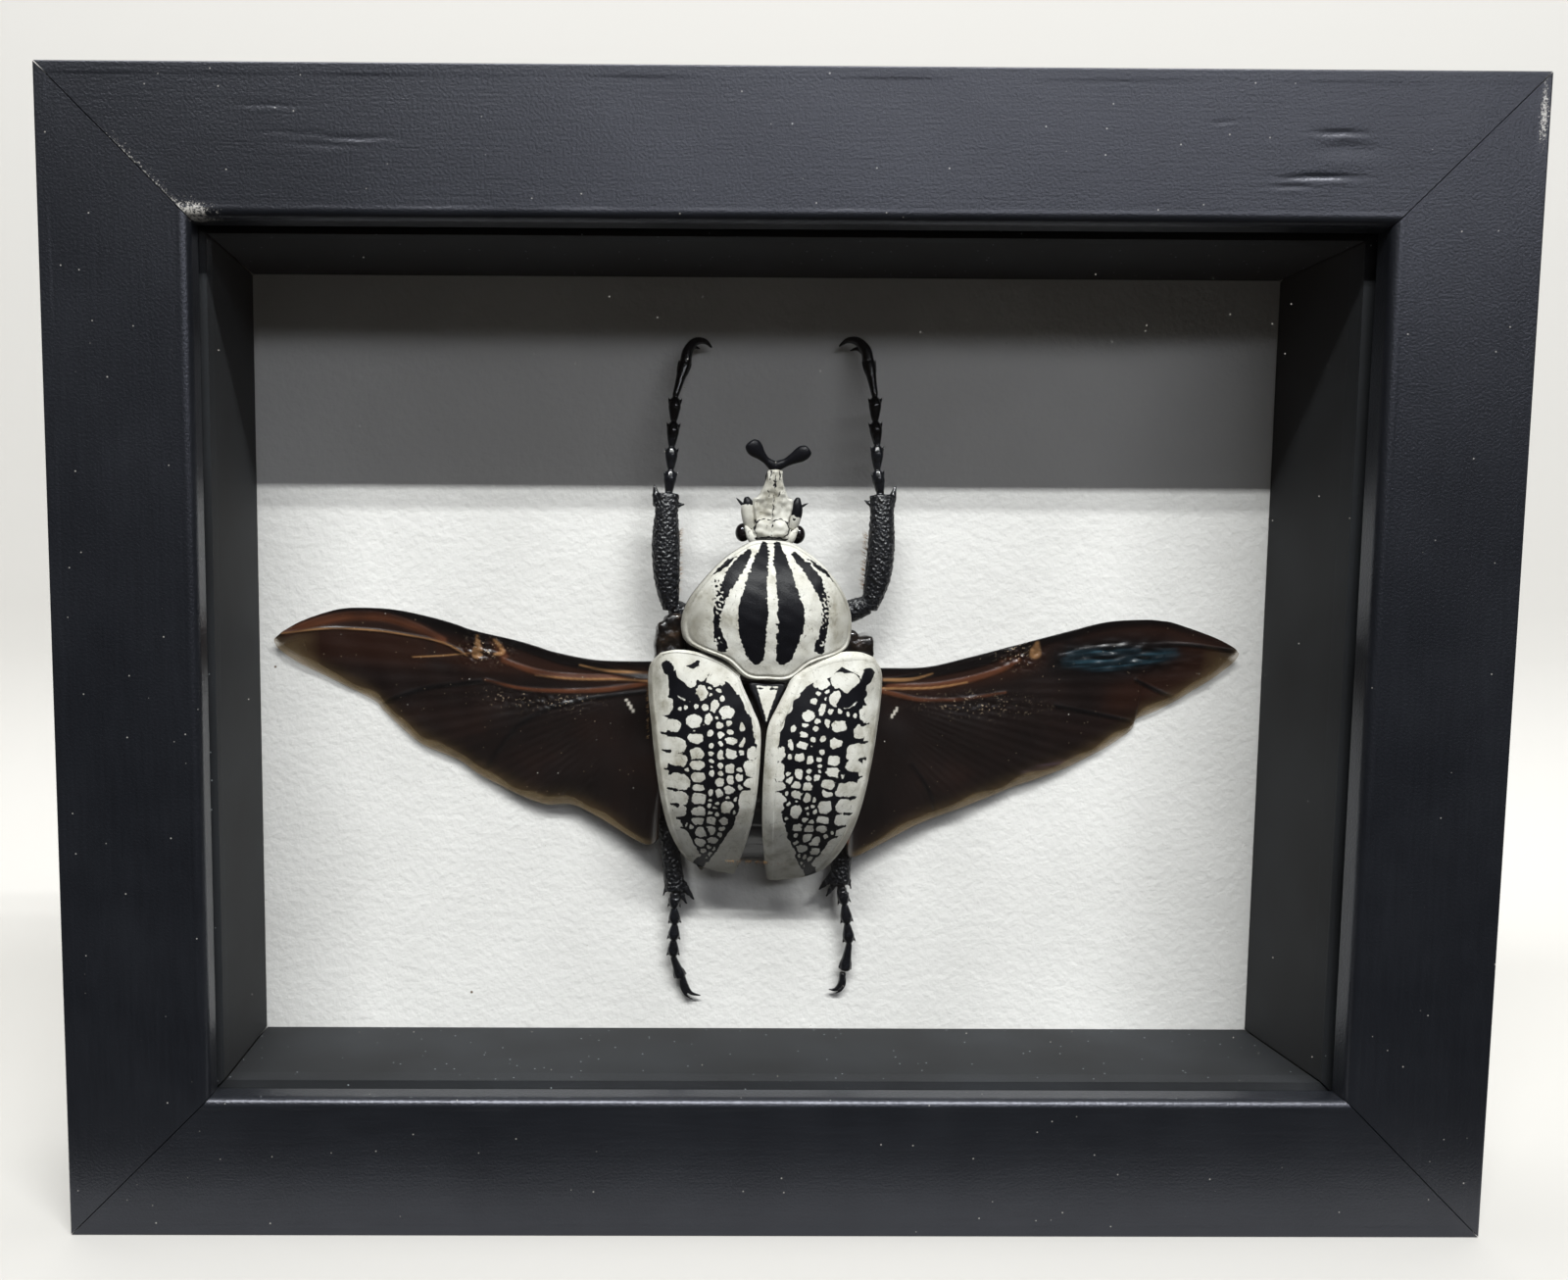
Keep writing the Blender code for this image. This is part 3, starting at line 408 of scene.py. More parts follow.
def pictureGlass():
    # Float glass: only its gloss shows, with a few specks of dust
    material, tree, shader, place = newMaterial("floatGlass", "#f2f7f5", 0.03)
    tree.nodes.remove(shader)
    clear = addNode(tree, "ShaderNodeBsdfTransparent", {"Color": (0.985, 0.99, 0.988, 1.0)})
    gloss = addNode(tree, "ShaderNodeBsdfGlossy", {"Color": (1, 1, 1, 1), "Roughness": 0.02})
    # Schlick's curve, which is the same on both faces of the pane, so that slanting light gets through
    slant = addNode(tree, "ShaderNodeLayerWeight", {"Blend": 0.5}).outputs["Facing"]
    steep = addNode(tree, "ShaderNodeMath", {"operation": "POWER", 1: 5.0}, {0: slant}).outputs[0]
    share = addNode(tree, "ShaderNodeMath", {"operation": "MULTIPLY_ADD", 1: 0.96, 2: 0.04},
                    {0: steep}).outputs[0]
    pane = addNode(tree, "ShaderNodeMixShader", {}, {0: share, 1: clear.outputs[0], 2: gloss.outputs[0]})
    dust = addNode(tree, "ShaderNodeTexVoronoi", {"Scale": perSize(4.5)}, {"Vector": place})
    speck = addNode(tree, "ShaderNodeMapRange", {"From Min": 0.035, "From Max": 0.015, "To Max": 0.5},
                    {"Value": dust.outputs["Distance"]}).outputs[0]
    grey = addNode(tree, "ShaderNodeBsdfDiffuse", {"Color": hexColour("#c9c6bd")})
    dusty = addNode(tree, "ShaderNodeMixShader", {}, {0: speck, 1: pane.outputs[0], 2: grey.outputs[0]})
    tree.links.new(dusty.outputs[0], tree.nodes["Material Output"].inputs["Surface"])
    return material


def brownHardboard():
    # Pressed wood fibre: smooth brown face with short darker fibres
    material, tree, shader, place = newMaterial("pressedHardboard", "#6b4a30", 0.7)
    fibres = addNode(tree, "ShaderNodeTexNoise", {"Scale": perSize(1.2), "Detail": 6.0, "Roughness": 0.7},
                     {"Vector": place})
    tone = addNode(tree, "ShaderNodeValToRGB",
                   {"stops": [(0.3, hexColour("#533722")), (0.7, hexColour("#7f5b3c"))]},
                   {"Fac": fibres.outputs["Fac"]})
    tree.links.new(tone.outputs[0], shader.inputs["Base Color"])
    bump = addNode(tree, "ShaderNodeBump", {"Strength": 0.3, "Distance": 0.05 * mm},
                   {"Height": fibres.outputs["Fac"]})
    tree.links.new(bump.outputs[0], shader.inputs["Normal"])
    return material


def zincPlatedSteel():
    # Stamped and plated: bright grey with a cloudy bloom
    material, tree, shader, place = newMaterial("zincPlatedSteel", "#b9bab6", 0.35)
    shader.inputs["Metallic"].default_value = 1.0
    bloom = addNode(tree, "ShaderNodeTexNoise", {"Scale": perSize(2.0), "Detail": 5.0},
                    {"Vector": place}).outputs["Fac"]
    rough = addNode(tree, "ShaderNodeMapRange", {"To Min": 0.25, "To Max": 0.5}, {"Value": bloom}).outputs[0]
    tree.links.new(rough, shader.inputs["Roughness"])
    return material


def patternedCuticle():
    # Dry cuticle with a chalky white bloom, worn through to velvety black in its pattern.
    # The "ink" attribute is the distance into a black mark in millimetres.
    material, tree, shader, place = newMaterial("chalkyPatternedCuticle", "#d3d1c6", 0.55)
    shader.inputs["Specular IOR Level"].default_value = 0.18
    ink = addNode(tree, "ShaderNodeAttribute", {"attribute_name": "ink"}).outputs["Fac"]
    ragged = addNode(tree, "ShaderNodeTexNoise", {"Scale": perSize(0.7), "Detail": 5.0, "Roughness": 0.7},
                     {"Vector": place}).outputs["Fac"]
    rag = addNode(tree, "ShaderNodeMath", {"operation": "MULTIPLY_ADD", 1: 0.7, 2: -0.35},
                  {0: ragged}).outputs[0]
    edge = addNode(tree, "ShaderNodeMath", {"operation": "ADD"}, {0: ink, 1: rag}).outputs[0]
    black = addNode(tree, "ShaderNodeMapRange", {"From Min": -0.04, "From Max": 0.04},
                    {"Value": edge}).outputs[0]
    stain = addNode(tree, "ShaderNodeTexNoise", {"Scale": perSize(4.0), "Detail": 6.0, "Roughness": 0.65},
                    {"Vector": place}).outputs["Fac"]
    chalk = addNode(tree, "ShaderNodeValToRGB",
                    {"stops": [(0.3, hexColour("#aaa698")), (0.45, hexColour("#d2d0c6")),
                               (0.62, hexColour("#e2e1d9"))]},
                    {"Fac": stain}).outputs[0]
    # An attribute greys the chalk towards grey-brown: near the side margins and tips, and a little all over
    # the head and scutellum
    grime = addNode(tree, "ShaderNodeAttribute", {"attribute_name": "grime"}).outputs["Fac"]
    greyedChalk = addNode(tree, "ShaderNodeMix", {"data_type": "RGBA", 7: hexColour("#8c8676")},
                    {0: grime, 6: chalk}).outputs[2]
    # Fine dark cracks and rubbed dots in the bloom
    swirl = addNode(tree, "ShaderNodeTexNoise", {"Scale": perSize(1.5), "Detail": 3.0}, {"Vector": place})
    bent = addNode(tree, "ShaderNodeMix", {"data_type": "VECTOR", 0: 0.0012},
                   {4: place, 5: swirl.outputs["Color"]})
    cracks = addNode(tree, "ShaderNodeTexVoronoi", {"feature": "DISTANCE_TO_EDGE", "Scale": perSize(2.2)},
                     {"Vector": bent.outputs[1]}).outputs["Distance"]
    crack = addNode(tree, "ShaderNodeMapRange", {"From Min": 0.022, "From Max": 0.006, "To Max": 0.75},
                    {"Value": cracks}).outputs[0]
    patches = addNode(tree, "ShaderNodeMapRange", {"From Min": 0.52, "From Max": 0.6},
                      {"Value": ragged}).outputs[0]
    fine = addNode(tree, "ShaderNodeMath", {"operation": "MULTIPLY"}, {0: crack, 1: patches}).outputs[0]
    dots = addNode(tree, "ShaderNodeTexVoronoi", {"Scale": perSize(0.9)}, {"Vector": place})
    dot = addNode(tree, "ShaderNodeMapRange", {"From Min": 0.13, "From Max": 0.08, "To Max": 0.6},
                  {"Value": dots.outputs["Distance"]}).outputs[0]
    picked = addNode(tree, "ShaderNodeSeparateColor", {}, {"Color": dots.outputs["Color"]}).outputs[0]
    few = addNode(tree, "ShaderNodeMath", {"operation": "GREATER_THAN", 1: 0.8}, {0: picked}).outputs[0]
    fewDots = addNode(tree, "ShaderNodeMath", {"operation": "MULTIPLY"}, {0: dot, 1: few}).outputs[0]
    marks = addNode(tree, "ShaderNodeMath", {"operation": "MAXIMUM"}, {0: fine, 1: fewDots}).outputs[0]
    aged = addNode(tree, "ShaderNodeMix", {"data_type": "RGBA", 7: hexColour("#4d483e")},
                   {0: marks, 6: greyedChalk}).outputs[2]
    colour = addNode(tree, "ShaderNodeMix", {"data_type": "RGBA", 7: hexColour("#0f1015")},
                     {0: black, 6: aged})
    tree.links.new(colour.outputs[2], shader.inputs["Base Color"])
    rough = addNode(tree, "ShaderNodeMapRange", {"To Min": 0.55, "To Max": 0.4}, {"Value": black}).outputs[0]
    tree.links.new(rough, shader.inputs["Roughness"])
    pits = addNode(tree, "ShaderNodeTexNoise", {"Scale": perSize(0.28), "Detail": 3.0},
                   {"Vector": place}).outputs["Fac"]
    relief = addNode(tree, "ShaderNodeMath", {"operation": "MULTIPLY_ADD", 1: -0.8},
                     {0: black, 2: pits}).outputs[0]
    bump = addNode(tree, "ShaderNodeBump", {"Strength": 0.5, "Distance": 0.08 * mm}, {"Height": relief})
    tree.links.new(bump.outputs[0], shader.inputs["Normal"])
    return material


def blackLegCuticle():
    # Black chitin: the shins are pebbled, the feet smooth and glossy
    material, tree, shader, place = newMaterial("blackChitin", "#121317", 0.3)
    shader.inputs["Specular IOR Level"].default_value = 0.6
    pebbles = addNode(tree, "ShaderNodeTexVoronoi", {"Scale": perSize(0.45)},
                      {"Vector": place}).outputs["Distance"]
    grain = addNode(tree, "ShaderNodeAttribute", {"attribute_name": "grain"}).outputs["Fac"]
    height = addNode(tree, "ShaderNodeMath", {"operation": "MULTIPLY"}, {0: pebbles, 1: grain}).outputs[0]
    bump = addNode(tree, "ShaderNodeBump", {"Strength": 0.8, "Distance": 0.13 * mm}, {"Height": height})
    tree.links.new(bump.outputs[0], shader.inputs["Normal"])
    tone = addNode(tree, "ShaderNodeValToRGB",
                   {"stops": [(0.2, hexColour("#17191f")), (0.8, hexColour("#0a0b0d"))]},
                   {"Fac": pebbles}).outputs[0]
    tree.links.new(tone, shader.inputs["Base Color"])
    rough = addNode(tree, "ShaderNodeMapRange", {"To Min": 0.2, "To Max": 0.36}, {"Value": grain}).outputs[0]
    tree.links.new(rough, shader.inputs["Roughness"])
    return material


def brownBodyCuticle():
    # Horny brown-black plates. The "window" attribute marks where they are thin and amber
    material, tree, shader, place = newMaterial("brownHornyCuticle", "#1c1512", 0.28, coat=0.3)
    patch = addNode(tree, "ShaderNodeTexNoise", {"Scale": perSize(2.6), "Detail": 5.0, "Roughness": 0.65},
                    {"Vector": place}).outputs["Fac"]
    window = addNode(tree, "ShaderNodeAttribute", {"attribute_name": "window"}).outputs["Fac"]
    both = addNode(tree, "ShaderNodeMath", {"operation": "MULTIPLY_ADD", 1: 0.32},
                   {0: window, 2: patch}).outputs[0]
    tone = addNode(tree, "ShaderNodeValToRGB",
                   {"stops": [(0.45, hexColour("#0e0c0d")), (0.72, hexColour("#211913")),
                              (0.88, hexColour("#443222")),
                              (1.0, hexColour("#968160"))]}, {"Fac": both}).outputs[0]
    tree.links.new(tone, shader.inputs["Base Color"])
    bump = addNode(tree, "ShaderNodeBump", {"Strength": 0.5, "Distance": 0.18 * mm}, {"Height": patch})
    tree.links.new(bump.outputs[0], shader.inputs["Normal"])
    return material


def eyeLens():
    # Compound eye: smooth, almost black
    material, tree, shader, place = newMaterial("beetleEye", "#0d0b0c", 0.15)
    facets = addNode(tree, "ShaderNodeTexVoronoi", {"Scale": perSize(0.22)},
                     {"Vector": place}).outputs["Distance"]
    tone = addNode(tree, "ShaderNodeValToRGB",
                   {"stops": [(0.0, hexColour("#171214")), (1.0, hexColour("#080708"))]},
                   {"Fac": facets}).outputs[0]
    tree.links.new(tone, shader.inputs["Base Color"])
    return material


def wingMembrane():
    # Thin smoky membrane, dark red-brown, with copper and tan veins. Margins and tip are see-through
    material, tree, shader, place = newMaterial("smokyWingMembrane", "#1a0f0d", 0.34, coat=0.15)
    shader.inputs["Coat Roughness"].default_value = 0.16
    # The blue and violet layers are painted sheen, colour standing in for the gloss of the membrane
    layers = [("copper", "#2a1710"), ("orange", "#5e3724"), ("dark", "#08080a"), ("gold", "#b98b5e"),
              ("blue", "#3c6475"), ("violet", "#66536c"), ("tip", "#6a573c"), ("rim", "#a38d6a"),
              ("white", "#e6dfd2")]
    cloud = addNode(tree, "ShaderNodeTexNoise", {"Scale": perSize(12.0), "Detail": 5.0},
                    {"Vector": place}).outputs["Fac"]
    colour = addNode(tree, "ShaderNodeValToRGB",
                     {"stops": [(0.3, hexColour("#120d0d")), (0.55, hexColour("#1a1211")),
                                (0.8, hexColour("#241612"))]},
                     {"Fac": cloud}).outputs[0]
    for mark, shade in layers:
        strength = addNode(tree, "ShaderNodeAttribute", {"attribute_name": mark}).outputs["Fac"]
        colour = addNode(tree, "ShaderNodeMix", {"data_type": "RGBA", 7: hexColour(shade)},
                         {0: strength, 6: colour}).outputs[2]
    # Painted glints: gold flecks painted into the colour where the fold and the wrinkles would catch the
    # light
    fleck = addNode(tree, "ShaderNodeAttribute", {"attribute_name": "fleck"}).outputs["Fac"]
    glint = addNode(tree, "ShaderNodeTexNoise", {"Scale": perSize(0.55), "Detail": 3.0},
                    {"Vector": place}).outputs["Fac"]
    spark = addNode(tree, "ShaderNodeMapRange", {"From Min": 0.62, "From Max": 0.66},
                    {"Value": glint}).outputs[0]
    pale = addNode(tree, "ShaderNodeMath", {"operation": "MULTIPLY"}, {0: fleck, 1: spark}).outputs[0]
    lint = addNode(tree, "ShaderNodeTexVoronoi", {"Scale": perSize(1.7)},
                   {"Vector": place}).outputs["Distance"]
    dust = addNode(tree, "ShaderNodeMapRange", {"From Min": 0.075, "From Max": 0.035, "To Max": 0.5},
                   {"Value": lint})
    pale = addNode(tree, "ShaderNodeMath", {"operation": "MAXIMUM"}, {0: pale, 1: dust.outputs[0]}).outputs[0]
    # One pale colour for the painted glints and the specks of lint
    colour = addNode(tree, "ShaderNodeMix", {"data_type": "RGBA", 7: hexColour("#cdb79b")},
                     {0: pale, 6: colour}).outputs[2]
    tree.links.new(colour, shader.inputs["Base Color"])
    clear = addNode(tree, "ShaderNodeAttribute", {"attribute_name": "clear"}).outputs["Fac"]
    alpha = addNode(tree, "ShaderNodeMath", {"operation": "SUBTRACT", 0: 1.0}, {1: clear}).outputs[0]
    tree.links.new(alpha, shader.inputs["Alpha"])
    wrinkle = addNode(tree, "ShaderNodeTexNoise", {"Scale": perSize(0.7), "Detail": 5.0, "Roughness": 0.65},
                      {"Vector": place}).outputs["Fac"]
    bump = addNode(tree, "ShaderNodeBump", {"Strength": 0.3, "Distance": 0.12 * mm}, {"Height": wrinkle})
    tree.links.new(bump.outputs[0], shader.inputs["Normal"])
    return material


def tanHair():
    # Stiff tan bristles of uneven shade
    material, tree, shader, place = newMaterial("tanBristle", "#8a6238", 0.45)
    shade = addNode(tree, "ShaderNodeTexNoise", {"Scale": perSize(0.8)}, {"Vector": place}).outputs["Fac"]
    tone = addNode(tree, "ShaderNodeValToRGB",
                   {"stops": [(0.3, hexColour("#5d3d20")), (0.7, hexColour("#b08a58"))]},
                   {"Fac": shade}).outputs[0]
    tree.links.new(tone, shader.inputs["Base Color"])
    return material


# Frame

rails = {"faceWidth": 25.4, "outerRound": 0.3, "edgeRound": 1.6, "lipDepth": 4.8, "lipWidth": 6.0,
         "mitreCut": 0.12,
         # Knocks in the top rail: across, up, half length, half height, depth
         "dents": [(-87.5, 196.2, 4.5, 0.35, 0.05), (-84.0, 191.6, 6.0, 0.45, 0.03),
                   (-74.0, 191.0, 7.0, 0.4, 0.06), (-79.0, 189.8, 5.0, 0.6, 0.04),
                   (91.5, 193.0, 4.0, 0.5, 0.12), (93.0, 190.2, 5.0, 1.2, 0.08),
                   (88.5, 185.6, 5.5, 0.45, 0.16), (84.0, 184.2, 3.0, 0.4, 0.08),
                   (72.0, 194.4, 1.8, 0.3, 0.06)],
         "waviness": 0.05}


def railProfile():
    # (in from the outer side, behind the front), from the back of the outer side round to the rebate
    depth = (cadBox[1].y - cadBox[0].y) / mm
    width, sharp, turn = rails["faceWidth"], rails["outerRound"], rails["edgeRound"]
    bend = [math.radians(k * 10) for k in range(10)]
    points = [(0.0, depth)] + [(0.0, depth - (depth - sharp) * k / 12) for k in range(1, 12)]
    points += [(sharp - sharp * math.cos(b), sharp - sharp * math.sin(b)) for b in bend]
    points += [(sharp + (width - sharp - turn) * k / 90, 0.0) for k in range(1, 90)]
    points += [(width - turn + turn * math.sin(b), turn - turn * math.cos(b)) for b in bend]
    points += [(width, rails["lipDepth"]), (width - rails["lipWidth"], rails["lipDepth"])]
    points += [(width - rails["lipWidth"], depth)]
    return np.array(points)


def makeRail(side, material):
    profile = railProfile()
    sizeX = (cadBox[1].x - cadBox[0].x) / mm
    sizeZ = (cadBox[1].z - cadBox[0].z) / mm
    length = sizeX if side in ("top", "bottom") else sizeZ
    deselect()
    bpy.ops.mesh.primitive_grid_add(x_subdivisions=300, y_subdivisions=len(profile), size=1.0)
    rail = bpy.context.object
    flat = np.empty(len(rail.data.vertices) * 3, np.float32)
    rail.data.vertices.foreach_get("co", flat)
    flat = flat.reshape(-1, 3).astype(float) + 0.5
    row = np.rint(flat[:, 1] * len(profile)).astype(int) % len(profile)
    inward, behind = profile[row, 0], profile[row, 1]
    # The mitres gape a little in front and close behind
    reach = length / 2 - inward - rails["mitreCut"] * np.clip(1 - behind / 8, 0.1, 1)
    a = (flat[:, 0] * 2 - 1) * reach
    places = {"bottom": (a, inward), "top": (-a, sizeZ - inward),
              "left": (-sizeX / 2 + inward, sizeZ / 2 - a),
              "right": (sizeX / 2 - inward, sizeZ / 2 + a)}
    x, z = places[side]
    face = (behind < 0.3) * (inward > 2) * (inward < rails["faceWidth"] - 2)
    sink = rails["waviness"] * (waves(x, z, 28, 3) + 1) / 2 * face
    if side == "top":
        for u, v, halfLength, halfHeight, deep in rails["dents"]:
            lift = (z - v - 0.3 * waves(x, z, 9, 4)) / halfHeight
            knock = np.exp(-lift ** 2) - 0.4 * np.exp(-(lift + 1.8) ** 2)
            sink = sink + face * deep * np.exp(-((x - u) / halfLength) ** 2) * knock
    sink = np.clip(sink, 0.0, None)
    setPoints(rail, np.stack((x, cadBox[0].y / mm + behind + sink, z), -1) * mm)
    # Wear: along the upper left mitre, less on the other corners, and on the outer edges
    inFront = behind < 2
    across, up = x + sizeX / 2, sizeZ - z
    fromMitre = np.abs(across - up)
    topLeft = (x < 0) * (z > sizeZ / 2) * np.exp(-fromMitre / 4.5) * np.clip((across - 5) / 9, 0, 1)
    topLeft = topLeft * (1.0 if side == "top" else 0.45)
    corner = np.exp(-np.maximum(x + 101, 0) / 5.0 - np.maximum(-101 - x, 0) / 1.5 - ((z - 179.2) / 1.6) ** 2)
    mitre = np.abs((sizeX / 2 - np.abs(x)) - np.minimum(z, sizeZ - z))
    others = 0.06 * np.exp(-mitre / 0.3)
    rim = 0.08 * np.exp(-np.minimum(inward, rails["faceWidth"] - inward) / 0.4)
    rightTop = 0.3 * hill(x, z, sizeX / 2 - 1.2, 196, 1.0, 8)
    worn = 0.2 + (0.2 * topLeft + (0.24 * corner if side == "top" else 0) + others + rim + rightTop) * inFront
    setMark(rail, "worn", np.clip(worn, 0, 0.5))
    rail.name = "rail_" + side
    # The two mitred ends are filled, then everything is turned outwards
    bpy.ops.object.mode_set(mode="EDIT")
    bpy.ops.mesh.select_all(action="SELECT")
    bpy.ops.mesh.remove_doubles(threshold=2e-6)
    bpy.ops.mesh.fill_holes(sides=0)
    bpy.ops.mesh.normals_make_consistent(inside=False)
    bpy.ops.object.mode_set(mode="OBJECT")
    bpy.ops.object.shade_smooth_by_angle(angle=math.radians(28))
    rail.data.name = rail.name
    dress(rail, material, "black_painted_wood", "frame_rail_" + side)


def dressFrame():
    along, upright = blackPaintedWood("satinBlackWoodAcross", 0), blackPaintedWood("satinBlackWoodUpright", 2)
    for side in ("top", "bottom", "left", "right"):
        makeRail(side, along if side in ("top", "bottom") else upright)
    board = blackSpacerBoard()
    card = whiteCard()
    glass = pictureGlass()
    hardboard = brownHardboard()
    zinc = zincPlatedSteel()
    for name, node in cad.items():
        chosen = None
        if name.startswith("spacer_"):
            chosen, slot = board, "black_spacer_board"
        elif name == "backing_card":
            chosen, slot = card, "white_card"
        elif name == "glass_pane":
            chosen, slot = glass, "clear_glass"
        elif name == "back_board":
            chosen, slot = hardboard, "brown_hardboard"
        elif name.startswith("retaining_tab"):
            chosen, slot = zinc, "zinc_plated_steel"
        if chosen:
            dress(node, chosen, slot)
    print("frame dressed")


# Back of the beetle

back = {"side": 11.2, "flatness": 2.8, "fall": 0.62, "pronotumArch": 17.2, "elytronArch": 22.6,
        "pronotumRidge": [(-1.0, 21.2), (5.0, 23.2), (12.0, 24.2), (19.0, 22.3), (26.0, 17.0)],
        "elytronRidge": [(-40.0, 12.2), (-33.0, 16.6), (-25.0, 20.4), (-15.0, 22.6), (-6.0, 22.4),
                         (4.0, 20.4)],
        "apexSink": 7.0, "sinkFrom": -18.0, "sinkTo": -39.0, "facingCamera": (-28.7, 15.6),
        "cameraDistance": 255.0}


def apexSink(v):
    share = np.clip((v - back["sinkFrom"]) / (back["sinkTo"] - back["sinkFrom"]), 0, None)
    return back["apexSink"] * share ** 2


def spread(u, v, sink):
    # Outlines were read off the photo at the height of the wing roots: a lower place lies farther out
    share = sink / back["cameraDistance"]
    return u + (u - back["facingCamera"][0]) * share, v + (v - back["facingCamera"][1]) * share


def backHeight(u, v, ridge, arch):
    # An arch over the midline that falls to the side margins
    knots = np.array(ridge)
    fine = smooth(ridge, np.linspace(0, 1, 60))
    top = np.interp(v, fine[:, 0], fine[:, 1], left=knots[0, 1], right=knots[-1, 1])
    over = np.clip(1 - (np.abs(u) / arch) ** back["flatness"], 0, None) ** back["fall"]
    return back["side"] + (top - back["side"]) * over


pronotum = {"half": [(0, 25.4), (3.4, 25.1), (6.0, 23.8), (9.0, 21.6), (11.9, 18.5), (14.7, 14.6),
                     (16.1, 11.2), (16.2, 8.2), (15.4, 5.9), (13.0, 4.5), (8.0, 2.7), (4.0, -0.4), (0, -0.7)],
            "middle": 12.0,
            # Black stripes: (across, along, half width)
            "stripes": [[(-1.4, 24.4, 0.65), (-2.4, 20.8, 1.45), (-3.3, 16.3, 2.0), (-3.7, 11.3, 2.75),
                         (-3.4, 7.3, 2.3), (-2.5, 3.6, 1.35)],
                        [(0.8, 24.5, 0.65), (1.4, 21.0, 1.35), (2.3, 16.5, 1.85), (3.3, 11.6, 2.5),
                         (3.1, 7.6, 2.2), (2.5, 3.8, 1.4)],
                        [(-4.5, 22.9, 0.55), (-6.4, 20.3, 1.1), (-8.1, 17.4, 1.15), (-9.5, 14.0, 0.85),
                         (-10.1, 9.5, 0.6), (-8.8, 5.2, 1.0)],
                        [(3.9, 22.8, 0.5), (6.0, 20.6, 0.95), (7.8, 18.2, 1.05), (9.2, 15.2, 0.8),
                         (10.0, 11.4, 0.6), (9.2, 5.6, 1.0)],
                        [(-6.9, 22.0, 0.1), (-8.9, 20.4, 0.45), (-10.9, 18.5, 0.1)],
                        [(6.3, 22.1, 0.08), (8.9, 20.3, 0.35), (11.4, 18.1, 0.05)]],
            # Where the bloom breaks into white flecks on the side stripes: (across, along, half sizes)
            "flecks": [(-9.9, 14.0, 0.9, 3.0), (-10.6, 16.4, 0.8, 1.4), (9.9, 13.4, 0.9, 3.4),
                       (-9.7, 6.2, 0.8, 0.8), (9.6, 6.6, 0.4, 0.9)]}


def closedHalf(half):
    return half + [(-u, v) for u, v in reversed(half[1:-1])]


def makePronotum(material):
    outline = closedHalf(pronotum["half"])
    turnsAt = [0, 0.72, 0.75, 0.78, 0.81, 0.88, 0.94, 1.0]
    scaleAt = [0, 0.955, 0.99, 1.0, 0.975, 0.84, 0.6, 0.0]
    dropAt = [0, 0.1, 0.55, 1.4, 2.4, 3.0, 3.0, 3.0]

    def shape(s, t):
        edge = smooth(outline, s, closed=True)
        scale = np.interp(t, turnsAt, scaleAt)
        u = edge[:, 0] * scale
        v = pronotum["middle"] + (edge[:, 1] - pronotum["middle"]) * scale
        h = backHeight(u, v, back["pronotumRidge"], back["pronotumArch"]) - np.interp(t, turnsAt, dropAt)
        under = np.clip((t - 0.81) / 0.05, 0, 1)
        h = h * (1 - under) + np.interp(t, [0.81, 0.88, 0.94, 1.0], [9.6, 7.2, 3.6, 2.6]) * under
        bead = 0.3 * np.exp(-((t - 0.735) / 0.012) ** 2)          # raised border
        groove = -0.25 * np.exp(-((t - 0.705) / 0.012) ** 2)
        dips = -0.3 * hill(np.abs(u), v, 9.5, 9, 1.8, 2.5)
        return u, h + bead + groove + dips + 0.06 * waves(u, v, 3.0, 5), v

    piece = ringPiece("pronotum_plate", 330, 150, shape)
    u, h, v = offCard(piece)
    wobbleU = u + 0.15 * waves(u, v, 2.2, 11) + 0.15 * waves(u, v, 0.9, 13) + 0.1 * waves(u, v, 0.45, 14)
    wobbleV = v + 0.13 * waves(u, v, 2.2, 12)
    ink = np.full(u.shape, -9.0)
    for stripe in pronotum["stripes"]:
        ink = np.maximum(ink, -strokeDistance(wobbleU, wobbleV, stripe))
    grit = waves(u, v, 0.75, 21, 12)
    for centreU, centreV, halfU, halfV in pronotum["flecks"]:
        near = hill(u, v, centreU, centreV, halfU, halfV)
        ink = np.minimum(ink, 0.5 - near * np.clip(grit + 0.35, 0, None) * 1.6)
        ink = np.maximum(ink, np.where(near > 0.25, -0.12 + near * np.clip(-grit, 0, None) * 0.35, -9.0))
    surface = backHeight(u, v, back["pronotumRidge"], back["pronotumArch"])
    low = surface - h
    ink = np.where(low > 1.5, 1.0, ink)                           # underside
    # The front slopes have a black edge
    front = np.clip((v - 8.5) / 2, 0, 1) * np.clip((np.abs(u) - 3.5) / 1.5, 0, 1)
    ink = np.maximum(ink, np.where(front > 0.5, low - 1.0, -9.0))
    setMark(piece, "ink", ink)
    # Greyer on the side slopes, in patches
    sideGreying = np.clip((np.abs(u) - 10.6) / 3, 0, 1) * np.clip((waves(u, v, 4, 8) + 1.5) / 2, 0, 1)
    setMark(piece, "grime", 0.62 * sideGreying)
    dress(piece, material, "patterned_cuticle", "pronotum")
    print("pronotum made")


scutellum = {"half": [(0, -1.3), (3.4, -1.3), (1.8, -5.2), (0.35, -8.8), (0, -9.0)], "middle": -3.8}


